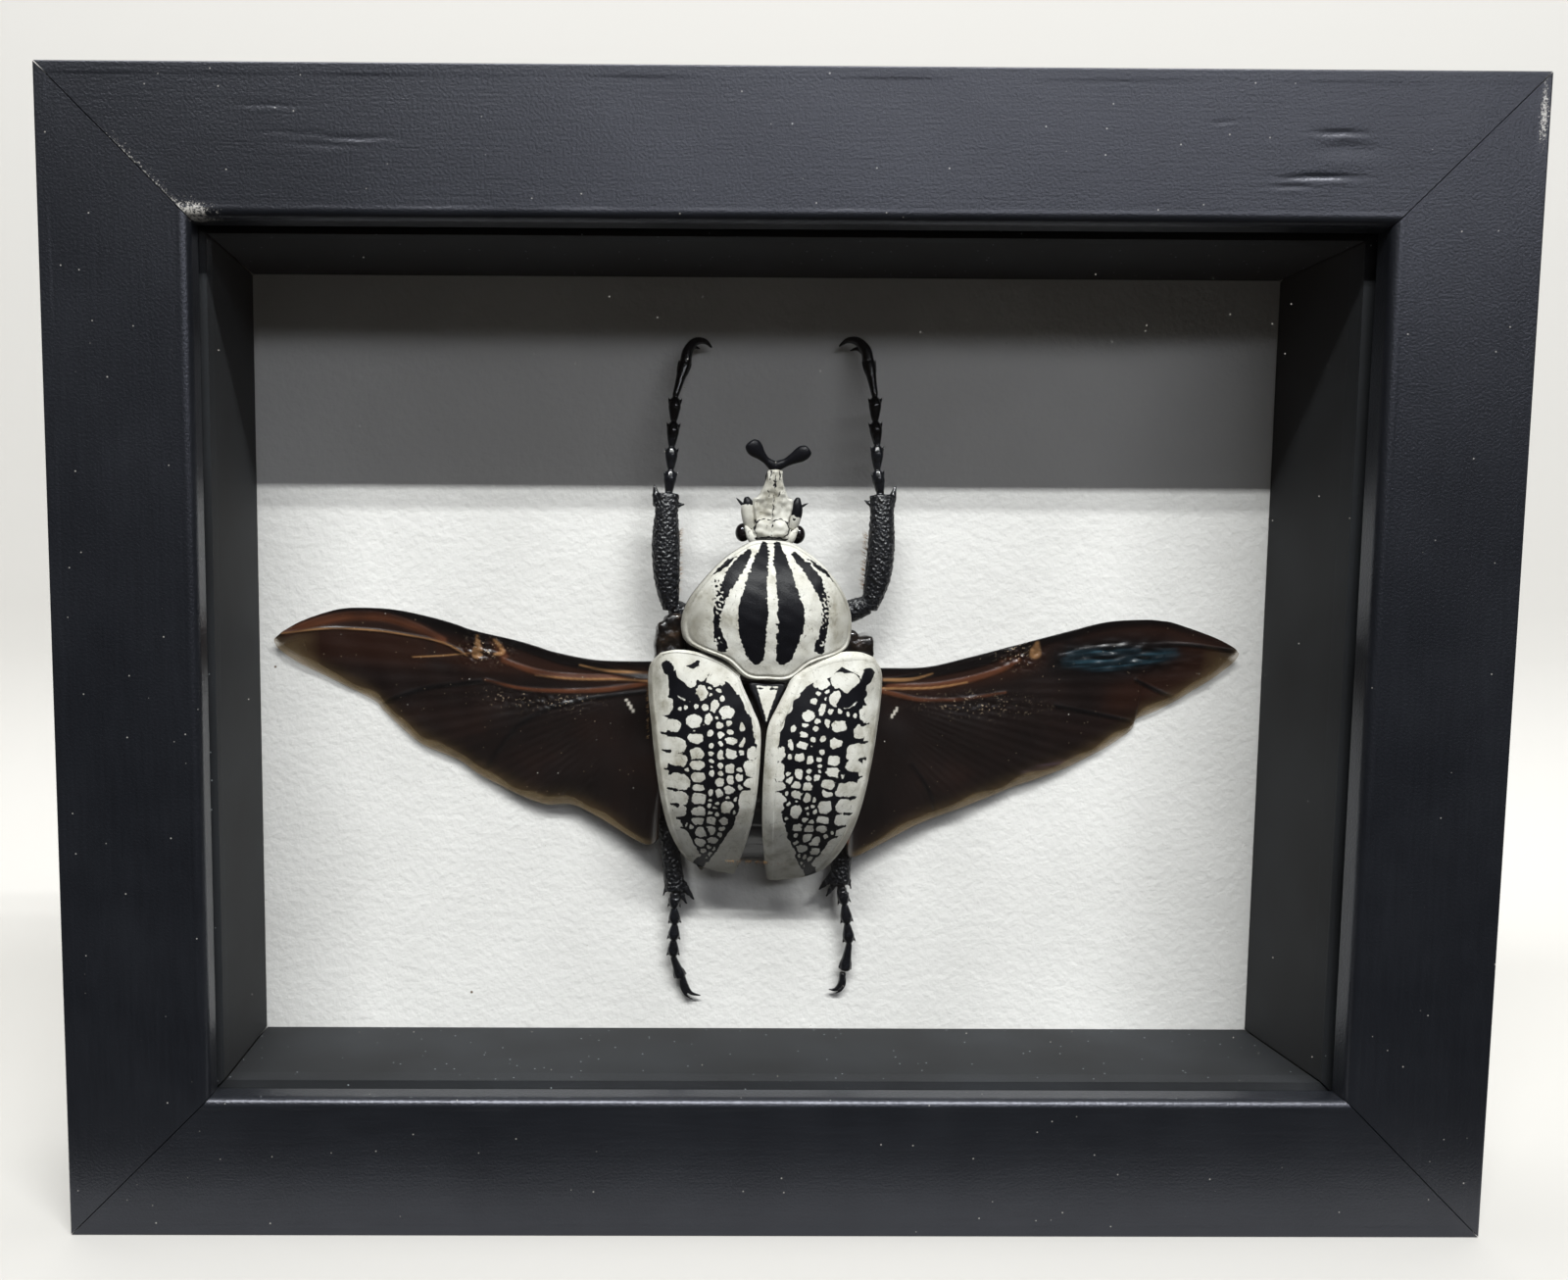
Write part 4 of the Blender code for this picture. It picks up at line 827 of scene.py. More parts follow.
def makeScutellum(material):
    outline = closedHalf(scutellum["half"])

    def shape(s, t):
        edge = smooth(outline, s, closed=True)
        scale = np.interp(t, [0, 0.6, 0.7, 0.8, 1.0], [0, 0.93, 1.0, 0.96, 0])
        u = edge[:, 0] * scale
        v = scutellum["middle"] + (edge[:, 1] - scutellum["middle"]) * scale
        drop = np.interp(t, [0, 0.55, 0.7, 0.8, 1.0], [0.7, 0.75, 1.2, 2.4, 2.6])      # below the wing cases
        return u, backHeight(u, v, back["elytronRidge"], back["elytronArch"]) - drop, v

    piece = ringPiece("scutellum_plate", 120, 40, shape)
    u, _, v = offCard(piece)
    inside = 3.0 * (v + 8.9) / 7.6 * 0.82 - np.abs(u) - 0.25      # distance in from the slanting sides
    ink = np.maximum(-inside, -strokeDistance(u, v, [(-2.1, -2.2, 0.2), (-1.0, -2.25, 0.2)]))
    ink = np.maximum(ink, -strokeDistance(u, v, [(0.6, -2.25, 0.2), (1.7, -2.2, 0.2)]))
    ink = np.maximum(ink, v + 1.75)
    setMark(piece, "ink", ink)
    setMark(piece, "grime", 0.1)
    dress(piece, material, "patterned_cuticle", "scutellum")


# Wing cases: white spots on black, in rows, with a white border that they run into

elytra = {"base": [(5.2, -0.4), (8.5, 2.3), (13.0, 3.9), (17.0, 4.2), (20.0, 3.4)],
          "suture": [(5.2, -0.4), (4.3, -2.5), (2.6, -6.0), (1.1, -9.5), (0.8, -14.0), (0.9, -22.0),
                     (1.5, -29.0), (2.5, -34.5), (3.6, -39.3)],
          "side": [(20.0, 3.4), (21.9, 0.6), (21.9, -4.5), (21.2, -10.0), (20.2, -17.0), (18.5, -25.5),
                   (16.2, -32.0), (12.9, -36.6), (9.0, -38.4)],
          "apex": [(3.6, -39.3), (6.3, -39.0), (9.0, -38.4)],
          "thickness": 1.0, "seam": 0.46, "spotGrowth": 1.06,
          # Black field between the white borders: (along, inner share, outer share)
          "field": [(2.2, 0.50, 0.52), (0.4, 0.40, 0.72), (-1.6, 0.12, 0.80), (-4.0, 0.08, 0.80),
                    (-8.0, 0.07, 0.84), (-12.0, 0.06, 0.87), (-16.0, 0.05, 0.89), (-20.0, 0.05, 0.88),
                    (-24.0, 0.12, 0.87), (-27.0, 0.20, 0.86), (-30.0, 0.26, 0.80), (-32.0, 0.34, 0.74),
                    (-34.0, 0.44, 0.70), (-35.6, 0.54, 0.68), (-36.6, 0.60, 0.66)],
          # White lobes of the borders: (along, share of the way out, half width, half height)
          "lobes": [(-14.2, 0.08, 1.0, 1.2), (-17.1, 0.08, 1.3, 1.6), (-19.9, 0.08, 1.2, 0.9),
                    (-23.4, 0.08, 1.9, 1.9), (-25.9, 0.08, 1.6, 1.1), (-10.0, 0.80, 1.4, 1.2),
                    (-13.6, 0.80, 1.9, 1.4), (-16.3, 0.80, 2.0, 1.1), (-20.5, 0.79, 2.0, 1.5),
                    (-23.8, 0.80, 1.6, 1.3), (-26.3, 0.82, 1.2, 1.1), (-6.4, 0.84, 1.2, 1.6),
                    (-0.7, 0.60, 2.1, 1.9), (0.0, 0.44, 1.3, 1.3), (-1.0, 0.28, 1.6, 1.2)],
          # White spots standing free in the black, in the same way
          "spots": [(-9.5, 0.17, 0.5, 0.75), (-12.3, 0.17, 0.5, 0.95), (-14.2, 0.19, 0.5, 0.55),
                    (-17.6, 0.19, 0.55, 0.55), (-18.9, 0.20, 0.7, 0.8), (-20.9, 0.18, 0.45, 0.45),
                    (-23.3, 0.22, 0.42, 0.5), (-25.8, 0.22, 0.42, 0.42), (-2.8, 0.28, 0.5, 0.5),
                    (-4.4, 0.27, 0.55, 0.55), (-6.9, 0.28, 1.4, 1.15), (-8.8, 0.28, 0.55, 0.55),
                    (-10.5, 0.28, 0.6, 0.52), (-12.1, 0.28, 1.1, 0.6), (-14.6, 0.28, 1.1, 0.8),
                    (-17.4, 0.29, 0.8, 0.85), (-19.5, 0.28, 0.75, 0.75), (-21.5, 0.29, 0.95, 0.75),
                    (-23.1, 0.30, 0.33, 0.33), (-24.9, 0.30, 1.0, 1.25), (-27.8, 0.33, 0.78, 0.78),
                    (-29.4, 0.35, 0.55, 0.42), (-30.7, 0.37, 0.55, 0.48), (-2.5, 0.37, 0.52, 0.5),
                    (-3.8, 0.37, 0.25, 0.25), (-5.8, 0.37, 0.8, 1.15), (-7.8, 0.37, 0.47, 0.47),
                    (-9.3, 0.37, 0.6, 0.6), (-11.1, 0.37, 0.6, 0.55), (-12.7, 0.37, 0.52, 0.52),
                    (-14.8, 0.37, 0.65, 0.9), (-16.9, 0.38, 0.48, 0.48), (-18.4, 0.38, 0.52, 0.52),
                    (-20.1, 0.38, 0.9, 0.75), (-22.2, 0.39, 0.7, 0.85), (-24.3, 0.41, 0.38, 0.38),
                    (-25.1, 0.43, 0.33, 0.33), (-26.5, 0.41, 0.38, 0.38), (-3.5, 0.465, 1.15, 1.4),
                    (-6.2, 0.465, 0.55, 0.55), (-8.3, 0.465, 0.65, 0.95), (-10.9, 0.465, 0.52, 0.65),
                    (-13.2, 0.465, 0.43, 0.43), (-14.7, 0.465, 0.43, 0.43), (-16.2, 0.465, 0.47, 0.43),
                    (-17.1, 0.465, 0.27, 0.27), (-18.4, 0.465, 0.55, 0.62), (-22.2, 0.48, 0.43, 0.55),
                    (-23.8, 0.48, 0.38, 0.38), (-24.8, 0.49, 0.38, 0.38), (-26.3, 0.49, 0.47, 0.42),
                    (-27.8, 0.48, 0.9, 0.8), (-29.8, 0.49, 0.95, 0.85), (-4.2, 0.61, 1.5, 0.95),
                    (-6.1, 0.55, 0.5, 0.5), (-6.4, 0.65, 0.42, 0.42), (-6.7, 0.71, 0.42, 0.42),
                    (-8.8, 0.60, 1.35, 1.15), (-10.9, 0.61, 0.33, 0.33), (-12.0, 0.60, 1.3, 0.95),
                    (-14.9, 0.60, 1.2, 1.05), (-17.0, 0.60, 1.3, 0.9), (-19.4, 0.60, 1.25, 0.95),
                    (-21.5, 0.60, 1.05, 0.65), (-23.5, 0.60, 1.25, 1.15), (-26.2, 0.61, 1.25, 0.95),
                    (-28.0, 0.63, 1.1, 0.8), (-30.3, 0.60, 1.2, 1.0), (-18.0, 0.70, 0.5, 0.5),
                    (-29.1, 0.77, 0.33, 0.33), (-29.3, 0.72, 0.45, 0.45), (-2.2, 0.70, 0.7, 0.6),
                    (-31.9, 0.46, 0.85, 0.7), (-32.4, 0.64, 1.0, 0.85), (-33.5, 0.54, 0.5, 0.55),
                    (-33.9, 0.46, 0.5, 0.5), (-34.3, 0.64, 0.75, 0.6), (-34.9, 0.54, 0.5, 0.4),
                    (-35.6, 0.64, 0.4, 0.35)],
          "shoulderMark": [(18.7, 1.0, 1.05), (17.7, -0.7, 0.75), (16.6, -2.4, 1.15), (14.6, -4.0, 1.2),
                           (13.2, -4.8, 0.7)],
          "apexMark": [(10.7, -36.9, 1.2), (10.2, -35.8, 0.6), (9.4, -34.6, 0.3)],
          # Black seams that run out between the lobes of the side border, and how far
          "sideSeams": [-8.4, -11.8, -15.0, -18.4, -22.2, -25.2, -27.8, -29.8], "seamReach": 0.9}


def elytronPlace(side, s, t):
    # Patch between base, apex, suture and side edge. s runs outwards, t towards the apex
    base, apex = smooth(elytra["base"], s), smooth(elytra["apex"], s)
    suture, edge = smooth(elytra["suture"], t), smooth(elytra["side"], t)
    s, t = s[:, None], t[:, None]
    corners = ((1 - s) * (1 - t) * np.array(elytra["base"][0]) + s * (1 - t) * np.array(elytra["base"][-1])
               + (1 - s) * t * np.array(elytra["apex"][0]) + s * t * np.array(elytra["apex"][-1]))
    flat = (1 - t) * base + t * apex + (1 - s) * suture + s * edge - corners
    return side * flat[:, 0], flat[:, 1]


def makeElytron(name, side, material):
    kept = {}

    def shape(s, t):
        u, v = elytronPlace(side, s, t)
        kept["s"], kept["t"], kept["u"], kept["v"] = s, t, u, v
        fromEdge = np.minimum(np.minimum(s, 1 - s) * 20, np.minimum(t, 1 - t) * 42)
        roll = 0.85 * np.clip(1 - fromEdge / 1.4, 0, 1) ** 2
        rib = 0.16 * np.exp(-((fromEdge - 1.1) / 0.35) ** 2)
        shoulder = 0.8 * hill(np.abs(u), v, 18.2, 0.5, 2.2, 3)
        callus = 0.5 * hill(np.abs(u), v, 11.0, -33.5, 2.5, 2.5)
        h = backHeight(u, v, back["elytronRidge"], back["elytronArch"]) - roll + rib + shoulder + callus
        sink = apexSink(v)
        farU, farV = spread(u, v, sink)
        return farU, h - sink + 0.05 * waves(u, v, 4.0, 30 + side), farV

    piece = gridPiece(name, 140, 285, shape)
    s, t, u, v = kept["s"], kept["t"], kept["u"], kept["v"]
    across = side * u
    suture, edge = np.array(elytra["suture"]), np.array(elytra["side"])
    innerAt = lambda along: np.interp(-along, -suture[:, 1], suture[:, 0])
    outerAt = lambda along: np.interp(-along, -edge[:, 1], edge[:, 0])
    dice = random.Random(23 + side)
    field = np.array(elytra["field"])
    warpU = across + 0.12 * waves(u, v, 1.6, 50 + side) + 0.05 * waves(u, v, 0.7, 55 + side)
    warpV = v + 0.12 * waves(u, v, 1.6, 60 + side) + 0.05 * waves(u, v, 0.7, 65 + side)
    breadth = outerAt(v) - innerAt(v)
    inner = np.interp(-v, -field[:, 0], field[:, 1]) * breadth + innerAt(v)
    outer = np.interp(-v, -field[:, 0], field[:, 2]) * breadth + innerAt(v)
    inside = np.minimum(np.minimum(across - inner, outer - across), np.minimum(2.2 - v, v + 36.6))
    border = inside + 0.3 * waves(u, v, 2.6, 40 + side) + 0.12 * waves(u, v, 1.0, 45 + side)

    def spotGap(spot):
        along, share = spot[:2]
        halfWidth, halfHeight = spot[2] * elytra["spotGrowth"], spot[3] * elytra["spotGrowth"]
        if side > 0:                                  # the right case has its own arrangement
            along += dice.uniform(-0.3, 0.3)
            share += dice.uniform(-0.012, 0.012)
            halfWidth *= dice.uniform(0.8, 1.12)
            halfHeight *= dice.uniform(0.8, 1.12)
        centre = innerAt(along) + share * (outerAt(along) - innerAt(along))
        lean = dice.uniform(-0.35, 0.35)
        du, dv = warpU - centre, warpV - along
        power = 2.0 if halfWidth < 0.7 else dice.uniform(2.2, 3.2)
        ball = (np.abs((du + lean * dv) / halfWidth) ** power
                + np.abs((dv - lean * du) / halfHeight) ** power)
        return (ball ** (1 / power) - 1) * min(halfWidth, halfHeight)

    for lobe in elytra["lobes"]:
        border = np.minimum(border, spotGap(lobe))
    # The nearest white patch and the next one keep a black seam between them
    nearest, second = border, np.full(u.shape, 9.0)
    for spot in elytra["spots"]:
        gap = spotGap(spot)
        second = np.minimum(second, np.maximum(nearest, gap))
        nearest = np.minimum(nearest, gap)
    ink = np.maximum(nearest, (elytra["seam"] - (second - nearest)) * 0.6)
    ink = np.where(inside < -0.8, np.minimum(ink, inside + 0.6), ink)
    strokes = [elytra["shoulderMark"], elytra["apexMark"]]
    for along in elytra["sideSeams"]:
        share = np.interp(-along, -field[:, 0], field[:, 2])
        start = share * (outerAt(along) - innerAt(along)) + innerAt(along)
        far = start + elytra["seamReach"] * dice.uniform(0.6, 1.1)
        strokes.append([(start - 0.6, along, 0.35), (start + 0.6, along + 0.1, 0.2), (far, along + 0.2, 0.1)])
    for stroke in strokes:
        ink = np.maximum(ink, -strokeDistance(warpU, warpV, stroke))
    setMark(piece, "ink", ink)
    # Greyer near the side margin in patches, and towards the tip
    sideGreying = np.clip((s - 0.86) / 0.1, 0, 1) * np.clip((waves(u, v, 3.5, 9) + 1.3) / 2, 0, 1)
    setMark(piece, "grime", np.clip(0.75 * sideGreying + 0.5 * np.clip((t - 0.86) / 0.1, 0, 1), 0, 0.75))
    applyModifier(piece, "SOLIDIFY", thickness=elytra["thickness"] * mm, offset=-1.0)
    tidyMesh(piece)
    dress(piece, material, "patterned_cuticle", name.replace("wing_case", "elytron"))
    print(name, "made")


# Head

head = {"half": [(0, 25.2), (3.4, 25.2), (3.9, 26.4), (3.3, 28.6), (3.6, 30.2), (3.9, 31.8), (3.7, 33.1),
                 (3.0, 33.4), (2.5, 34.2), (1.9, 35.6), (1.45, 37.2), (1.35, 38.4), (0, 39.0)],
        "middle": 31.0,
        # Horn: each arm is slim at the fork and ends in a rounded paddle
        "arms": {-1: [(0.5, 15.9, 38.6, 1.0, 0.9), (-0.6, 16.2, 39.3, 0.95, 0.85),
                      (-1.8, 16.5, 40.1, 0.72, 0.7), (-2.9, 16.9, 41.0, 1.0, 0.8),
                      (-3.9, 17.3, 41.9, 1.5, 0.9), (-4.7, 17.6, 42.7, 1.45, 0.85),
                      (-5.2, 17.8, 43.3, 0.9, 0.5)],
                 1: [(-0.5, 15.9, 38.7, 1.0, 0.9), (0.6, 16.2, 39.3, 0.95, 0.85), (1.9, 16.5, 39.9, 0.8, 0.7),
                     (3.1, 16.9, 40.6, 1.05, 0.8), (4.3, 17.3, 41.3, 1.4, 0.9), (5.2, 17.6, 41.9, 1.35, 0.85),
                     (5.9, 17.8, 42.5, 0.8, 0.5)]},
        "eye": ((5.2, 12.9, 26.8), (1.45, 1.6, 1.75)),
        # Side lobes in front of the eyes, with their dark tips
        "lobes": {-1: [(-3.7, 13.4, 27.6, 1.2, 0.9), (-4.3, 14.0, 29.2, 1.2, 1.1),
                       (-4.7, 14.4, 30.9, 1.2, 1.0), (-4.7, 14.6, 32.3, 0.95, 0.8),
                       (-5.1, 14.5, 33.4, 0.4, 0.4)],
                  1: [(3.7, 13.4, 27.8, 1.2, 0.9), (4.3, 14.0, 29.4, 1.15, 1.1), (4.6, 14.4, 31.0, 1.15, 1.0),
                      (4.6, 14.6, 32.4, 0.9, 0.8), (4.8, 14.5, 33.7, 0.35, 0.4)]},
        "cheek": [(3.0, 14.3, 25.0, 0.9, 0.5), (3.9, 14.6, 26.3, 0.85, 0.55), (5.0, 14.5, 28.0, 0.2, 0.3)],
        # Dark lines of the head shield: (across, along, half width)
        "neckLine": [(-3.6, 25.5, 0.12), (0.0, 26.0, 0.1), (3.6, 25.5, 0.12)],
        "midLine": [(0.0, 37.4, 0.04), (0.1, 35.0, 0.02), (0.0, 31.0, 0.05), (0.0, 28.9, 0.1),
                    (0.0, 26.3, 0.04)],
        # The same on both sides, with what is added to each line's half width
        "sideLines": [(0.04, [(0.1, 29.0, 0.1), (1.4, 29.35, 0.05), (2.7, 28.9, 0.08), (3.2, 27.8, 0.1),
                              (3.0, 26.6, 0.06), (2.0, 25.9, 0.05)]),
                      (0.05, [(3.4, 29.0, 0.3), (4.1, 28.5, 0.6), (4.8, 28.3, 0.8)]),
                      (0.05, [(0.75, 38.3, 0.06), (0.95, 36.6, 0.02)]),
                      (0.05, [(-0.2, 36.4, 0.06), (0.3, 35.4, 0.02)]),
                      (0.05, [(1.2, 34.6, 0.06), (0.8, 33.6, 0.02)]),
                      (0.05, [(4.3, 29.6, 0.15), (4.7, 33.4, 0.25)])],
        "spines": {-1: [(-5.6, 14.2, 31.9), (-6.3, 14.2, 32.6), (-6.9, 14.2, 33.2)],
                   1: [(5.2, 14.2, 31.8), (6.0, 14.2, 32.3), (6.8, 14.2, 32.7)]}}


def headHeight(u, v):
    level = 15.4 + 0.1 * (v - 26.0) - 0.03 * u * u
    lobes = sum(0.6 * np.exp(-(((u - c) / 1.45) ** 4 + ((v - 27.6) / 1.5) ** 4)) for c in (-1.65, 1.65))
    groove = -0.22 * np.exp(-(u / 0.25) ** 2) * np.clip((36 - v) / 2, 0, 1)
    hollow = -0.55 * hill(np.abs(u), v, 1.9, 31.0, 0.9, 1.8)
    crest = 0.5 * np.exp(-(u / 1.3) ** 2) * np.clip((v - 33) / 3, 0, 1)
    return level + lobes + groove + hollow + crest + 0.09 * waves(u, v, 1.3, 71)


def makeHead(cuticle, lens):
    outline = closedHalf(head["half"])

    def shape(s, t):
        edge = smooth(outline, s, closed=True)
        scale = np.interp(t, [0, 0.7, 0.76, 0.8, 0.92, 1.0], [0, 0.94, 1.0, 1.0, 0.92, 0.0])
        u = edge[:, 0] * scale
        v = head["middle"] + (edge[:, 1] - head["middle"]) * scale
        h = headHeight(u, v) - np.interp(t, [0, 0.66, 0.76, 0.8, 1.0], [0, 0.04, 0.7, 1.2, 1.2])
        under = np.clip((t - 0.8) / 0.12, 0, 1)
        low = np.where(v > 34.5, 11.8, 9.4)
        return u, h * (1 - under) + low * under, v

    plate = ringPiece("head_plate", 260, 120, shape)
    u, h, v = offCard(plate)
    low = headHeight(u, v) - h
    ink = np.where((low > 0.8) & (v > 26.6), low - 0.7, -1.0)
    wobble = 0.12 * waves(u, v, 1.0, 73)
    x, y = u + wobble, v + wobble
    ink = np.maximum(ink, 0.05 - strokeDistance(x, y, head["neckLine"]))
    ink = np.maximum(ink, 0.03 - strokeDistance(x, y, head["midLine"]))
    for side in (-1, 1):
        for reach, line in head["sideLines"]:
            path = [(side * place[0], *place[1:]) for place in line]
            ink = np.maximum(ink, reach - strokeDistance(x, y, path))
    pits = waves(u, v, 0.8, 75, 12)
    ink = np.maximum(ink, np.where((v > 30) & (np.abs(u) > 1.2), (pits - 1.25) * 0.5, -1.0))
    setMark(plate, "ink", ink)
    parts = [plate]
    for side, hand in ((-1, "left"), (1, "right")):
        arm = tubePiece("arm_" + hand, head["arms"][side], 30, 70, 0.07)
        setMark(arm, "ink", 1.0)
        lobe = tubePiece("lobe_" + hand, head["lobes"][side], 24, 50, 0.08)
        u, h, v = offCard(lobe)
        setMark(lobe, "ink", (v - 31.9) * 0.8 if side < 0 else (v - 29.9) * 0.5 + 0.3 * waves(u, v, 1.2, 76))
        spine = tubePiece("spine_" + hand, taperPath(head["spines"][side], 0.3), 8, 14, 0.1)
        setMark(spine, "ink", 1.0)
        cheekPath = [(side * place[0], *place[1:]) for place in head["cheek"]]
        cheek = tubePiece("cheek_" + hand, cheekPath, 20, 24, 0.1)
        setMark(cheek, "ink", -0.3)
        parts += [arm, lobe, spine, cheek]
    joined = joinPieces("head_and_horn", parts)
    joined.data.materials.clear()
    joined.data.materials.append(cuticle)
    setMark(joined, "grime", 0.1)
    centre, radii = head["eye"]
    eyes = []
    for side in (-1, 1):
        eye = ballPiece("eye", (side * centre[0], centre[1], centre[2]), radii)
        eye.data.materials.append(lens)
        eyes.append(eye)
    joined = joinPieces("head_and_horn", [joined] + eyes)
    finishPiece(joined, "patterned_cuticle", "head_with_horn")
    print("head made")


# Mid and hind body

trunk = {"stations": [(-1.9, 11.5, 2.0, 15.0), (-4.0, 15.2, 0.8, 17.2), (-9.0, 16.6, 0.3, 18.2),
                      (-16.0, 16.8, 0.3, 18.2), (-24.0, 15.4, 0.5, 15.9), (-31.0, 12.4, 0.8, 10.6),
                      (-35.5, 8.6, 1.2, 5.8), (-38.0, 4.6, 1.4, 3.0)],
         # Blocky growths: centre, radii and how boxy they are (1 is round)
         "growths": {-1: [((-14.8, 5.4, 1.0), (3.2, 4.4, 6.4), 0.8),
                          ((-18.0, 8.9, 4.9), (3.0, 2.7, 3.9), 0.42),
                          ((-17.2, 9.9, 9.0), (2.3, 1.7, 1.9), 0.6),
                          ((-19.4, 10.6, 7.6), (1.2, 1.2, 1.7), 0.7)],
                     1: [((14.8, 5.4, 1.0), (3.2, 4.4, 6.4), 0.8), ((18.3, 8.9, 4.4), (3.2, 2.7, 3.7), 0.42),
                         ((16.6, 9.9, 7.2), (2.0, 1.7, 1.7), 0.6),
                         ((20.2, 10.4, 6.2), (1.2, 1.2, 1.8), 0.7)]},
         # Thin amber windows: (across, along, size)
         "windows": [(-17.0, 7.0, 1.5), (-19.8, 5.2, 0.9), (-16.6, 10.4, 0.9), (17.8, 6.6, 1.4),
                     (19.6, 3.6, 0.9)]}


def makeTrunk(material):
    def shape(s, t):
        at = smooth(trunk["stations"], t)
        turn = 2 * math.pi * s
        close = np.sqrt(np.clip(1 - (1 - np.clip(np.minimum(t, 1 - t) / 0.03, 0, 1)) ** 2, 0, 1))
        rounded = lambda q: np.sign(q) * np.abs(q) ** 0.8
        u = at[:, 1] * rounded(np.cos(turn)) * close
        middle, rise = (at[:, 2] + at[:, 3]) / 2, (at[:, 3] - at[:, 2]) / 2
        ringGroove = 1 - 0.03 * np.exp(-(((at[:, 0] % 4.6) - 2.3) / 0.35) ** 2) * (at[:, 0] < -13)
        return u * ringGroove, middle + rise * rounded(np.sin(turn)) * close * ringGroove, at[:, 0]

    parts = [ringPiece("trunk", 120, 150, shape)]
    for side in (-1, 1):
        for centre, radii, boxiness in trunk["growths"][side]:
            parts.append(ballPiece("growth", centre, radii, 48, 32, boxiness))
    body = joinPieces("thorax_and_hind_body", parts)
    remesh(body, 0.26)
    u, h, v = offCard(body)
    window = sum(np.exp(-((u - x) ** 2 + (v - y) ** 2) / size ** 2) for x, y, size in trunk["windows"])
    window = window * (h > 8)
    setMark(body, "window", np.clip(window + 0.25 * np.exp(-((v + 36) / 2) ** 2), 0, 1))
    lumps = 0.16 * waves(u, v, 2.4, 77) + 0.06 * waves(u + h, v, 0.9, 78, 12)
    swell(body, lumps * (v > -3))
    dress(body, material, "brown_cuticle", "thorax_and_abdomen")
    print("body made")


# Hind wings: stations hold the leading and trailing edges from the root to the tip

wings = {"left": [(-17.8, 1.5, -18.6, -33.8), (-21.5, 1.4, -21.2, -35.0), (-31.7, 1.2, -30.5, -30.0),
                  (-39.8, 2.3, -36.0, -27.7), (-44.0, 3.4, -41.1, -27.9), (-48.0, 4.4, -47.0, -26.0),
                  (-56.3, 6.0, -54.3, -22.6), (-60.0, 7.1, -58.6, -19.8), (-64.4, 8.2, -66.4, -16.6),
                  (-71.3, 9.4, -73.2, -10.9), (-77.8, 9.6, -75.4, -8.6), (-83.1, 9.0, -82.8, -5.0),
                  (-89.6, 6.6, -89.8, -1.8), (-93.4, 4.2, -93.6, 0.6), (-94.9, 2.8, -94.9, 2.2)],
         "right": [(17.8, 1.7, 18.8, -34.6), (24.2, 1.9, 21.0, -35.8), (32.4, 2.4, 31.6, -29.6),
                   (40.4, 4.5, 37.5, -27.0), (48.4, 6.9, 46.5, -23.2), (53.7, 8.5, 52.5, -20.5),
                   (61.6, 10.9, 60.9, -17.1), (66.0, 12.2, 65.7, -14.5), (69.8, 12.9, 70.4, -11.6),
                   (75.1, 13.3, 74.0, -8.6), (78.0, 13.2, 74.9, -6.2), (80.6, 12.8, 79.2, -4.1),
                   (87.7, 10.6, 87.8, 1.7), (91.7, 8.8, 92.0, 5.2), (93.2, 7.6, 93.2, 7.0)],
         "level": 8.5, "dip": 1.4, "droop": 1.4, "hang": 3.4, "sink": 6.6, "sinkFrom": 0.2, "sinkTo": 0.95,
         "thickness": 0.3}

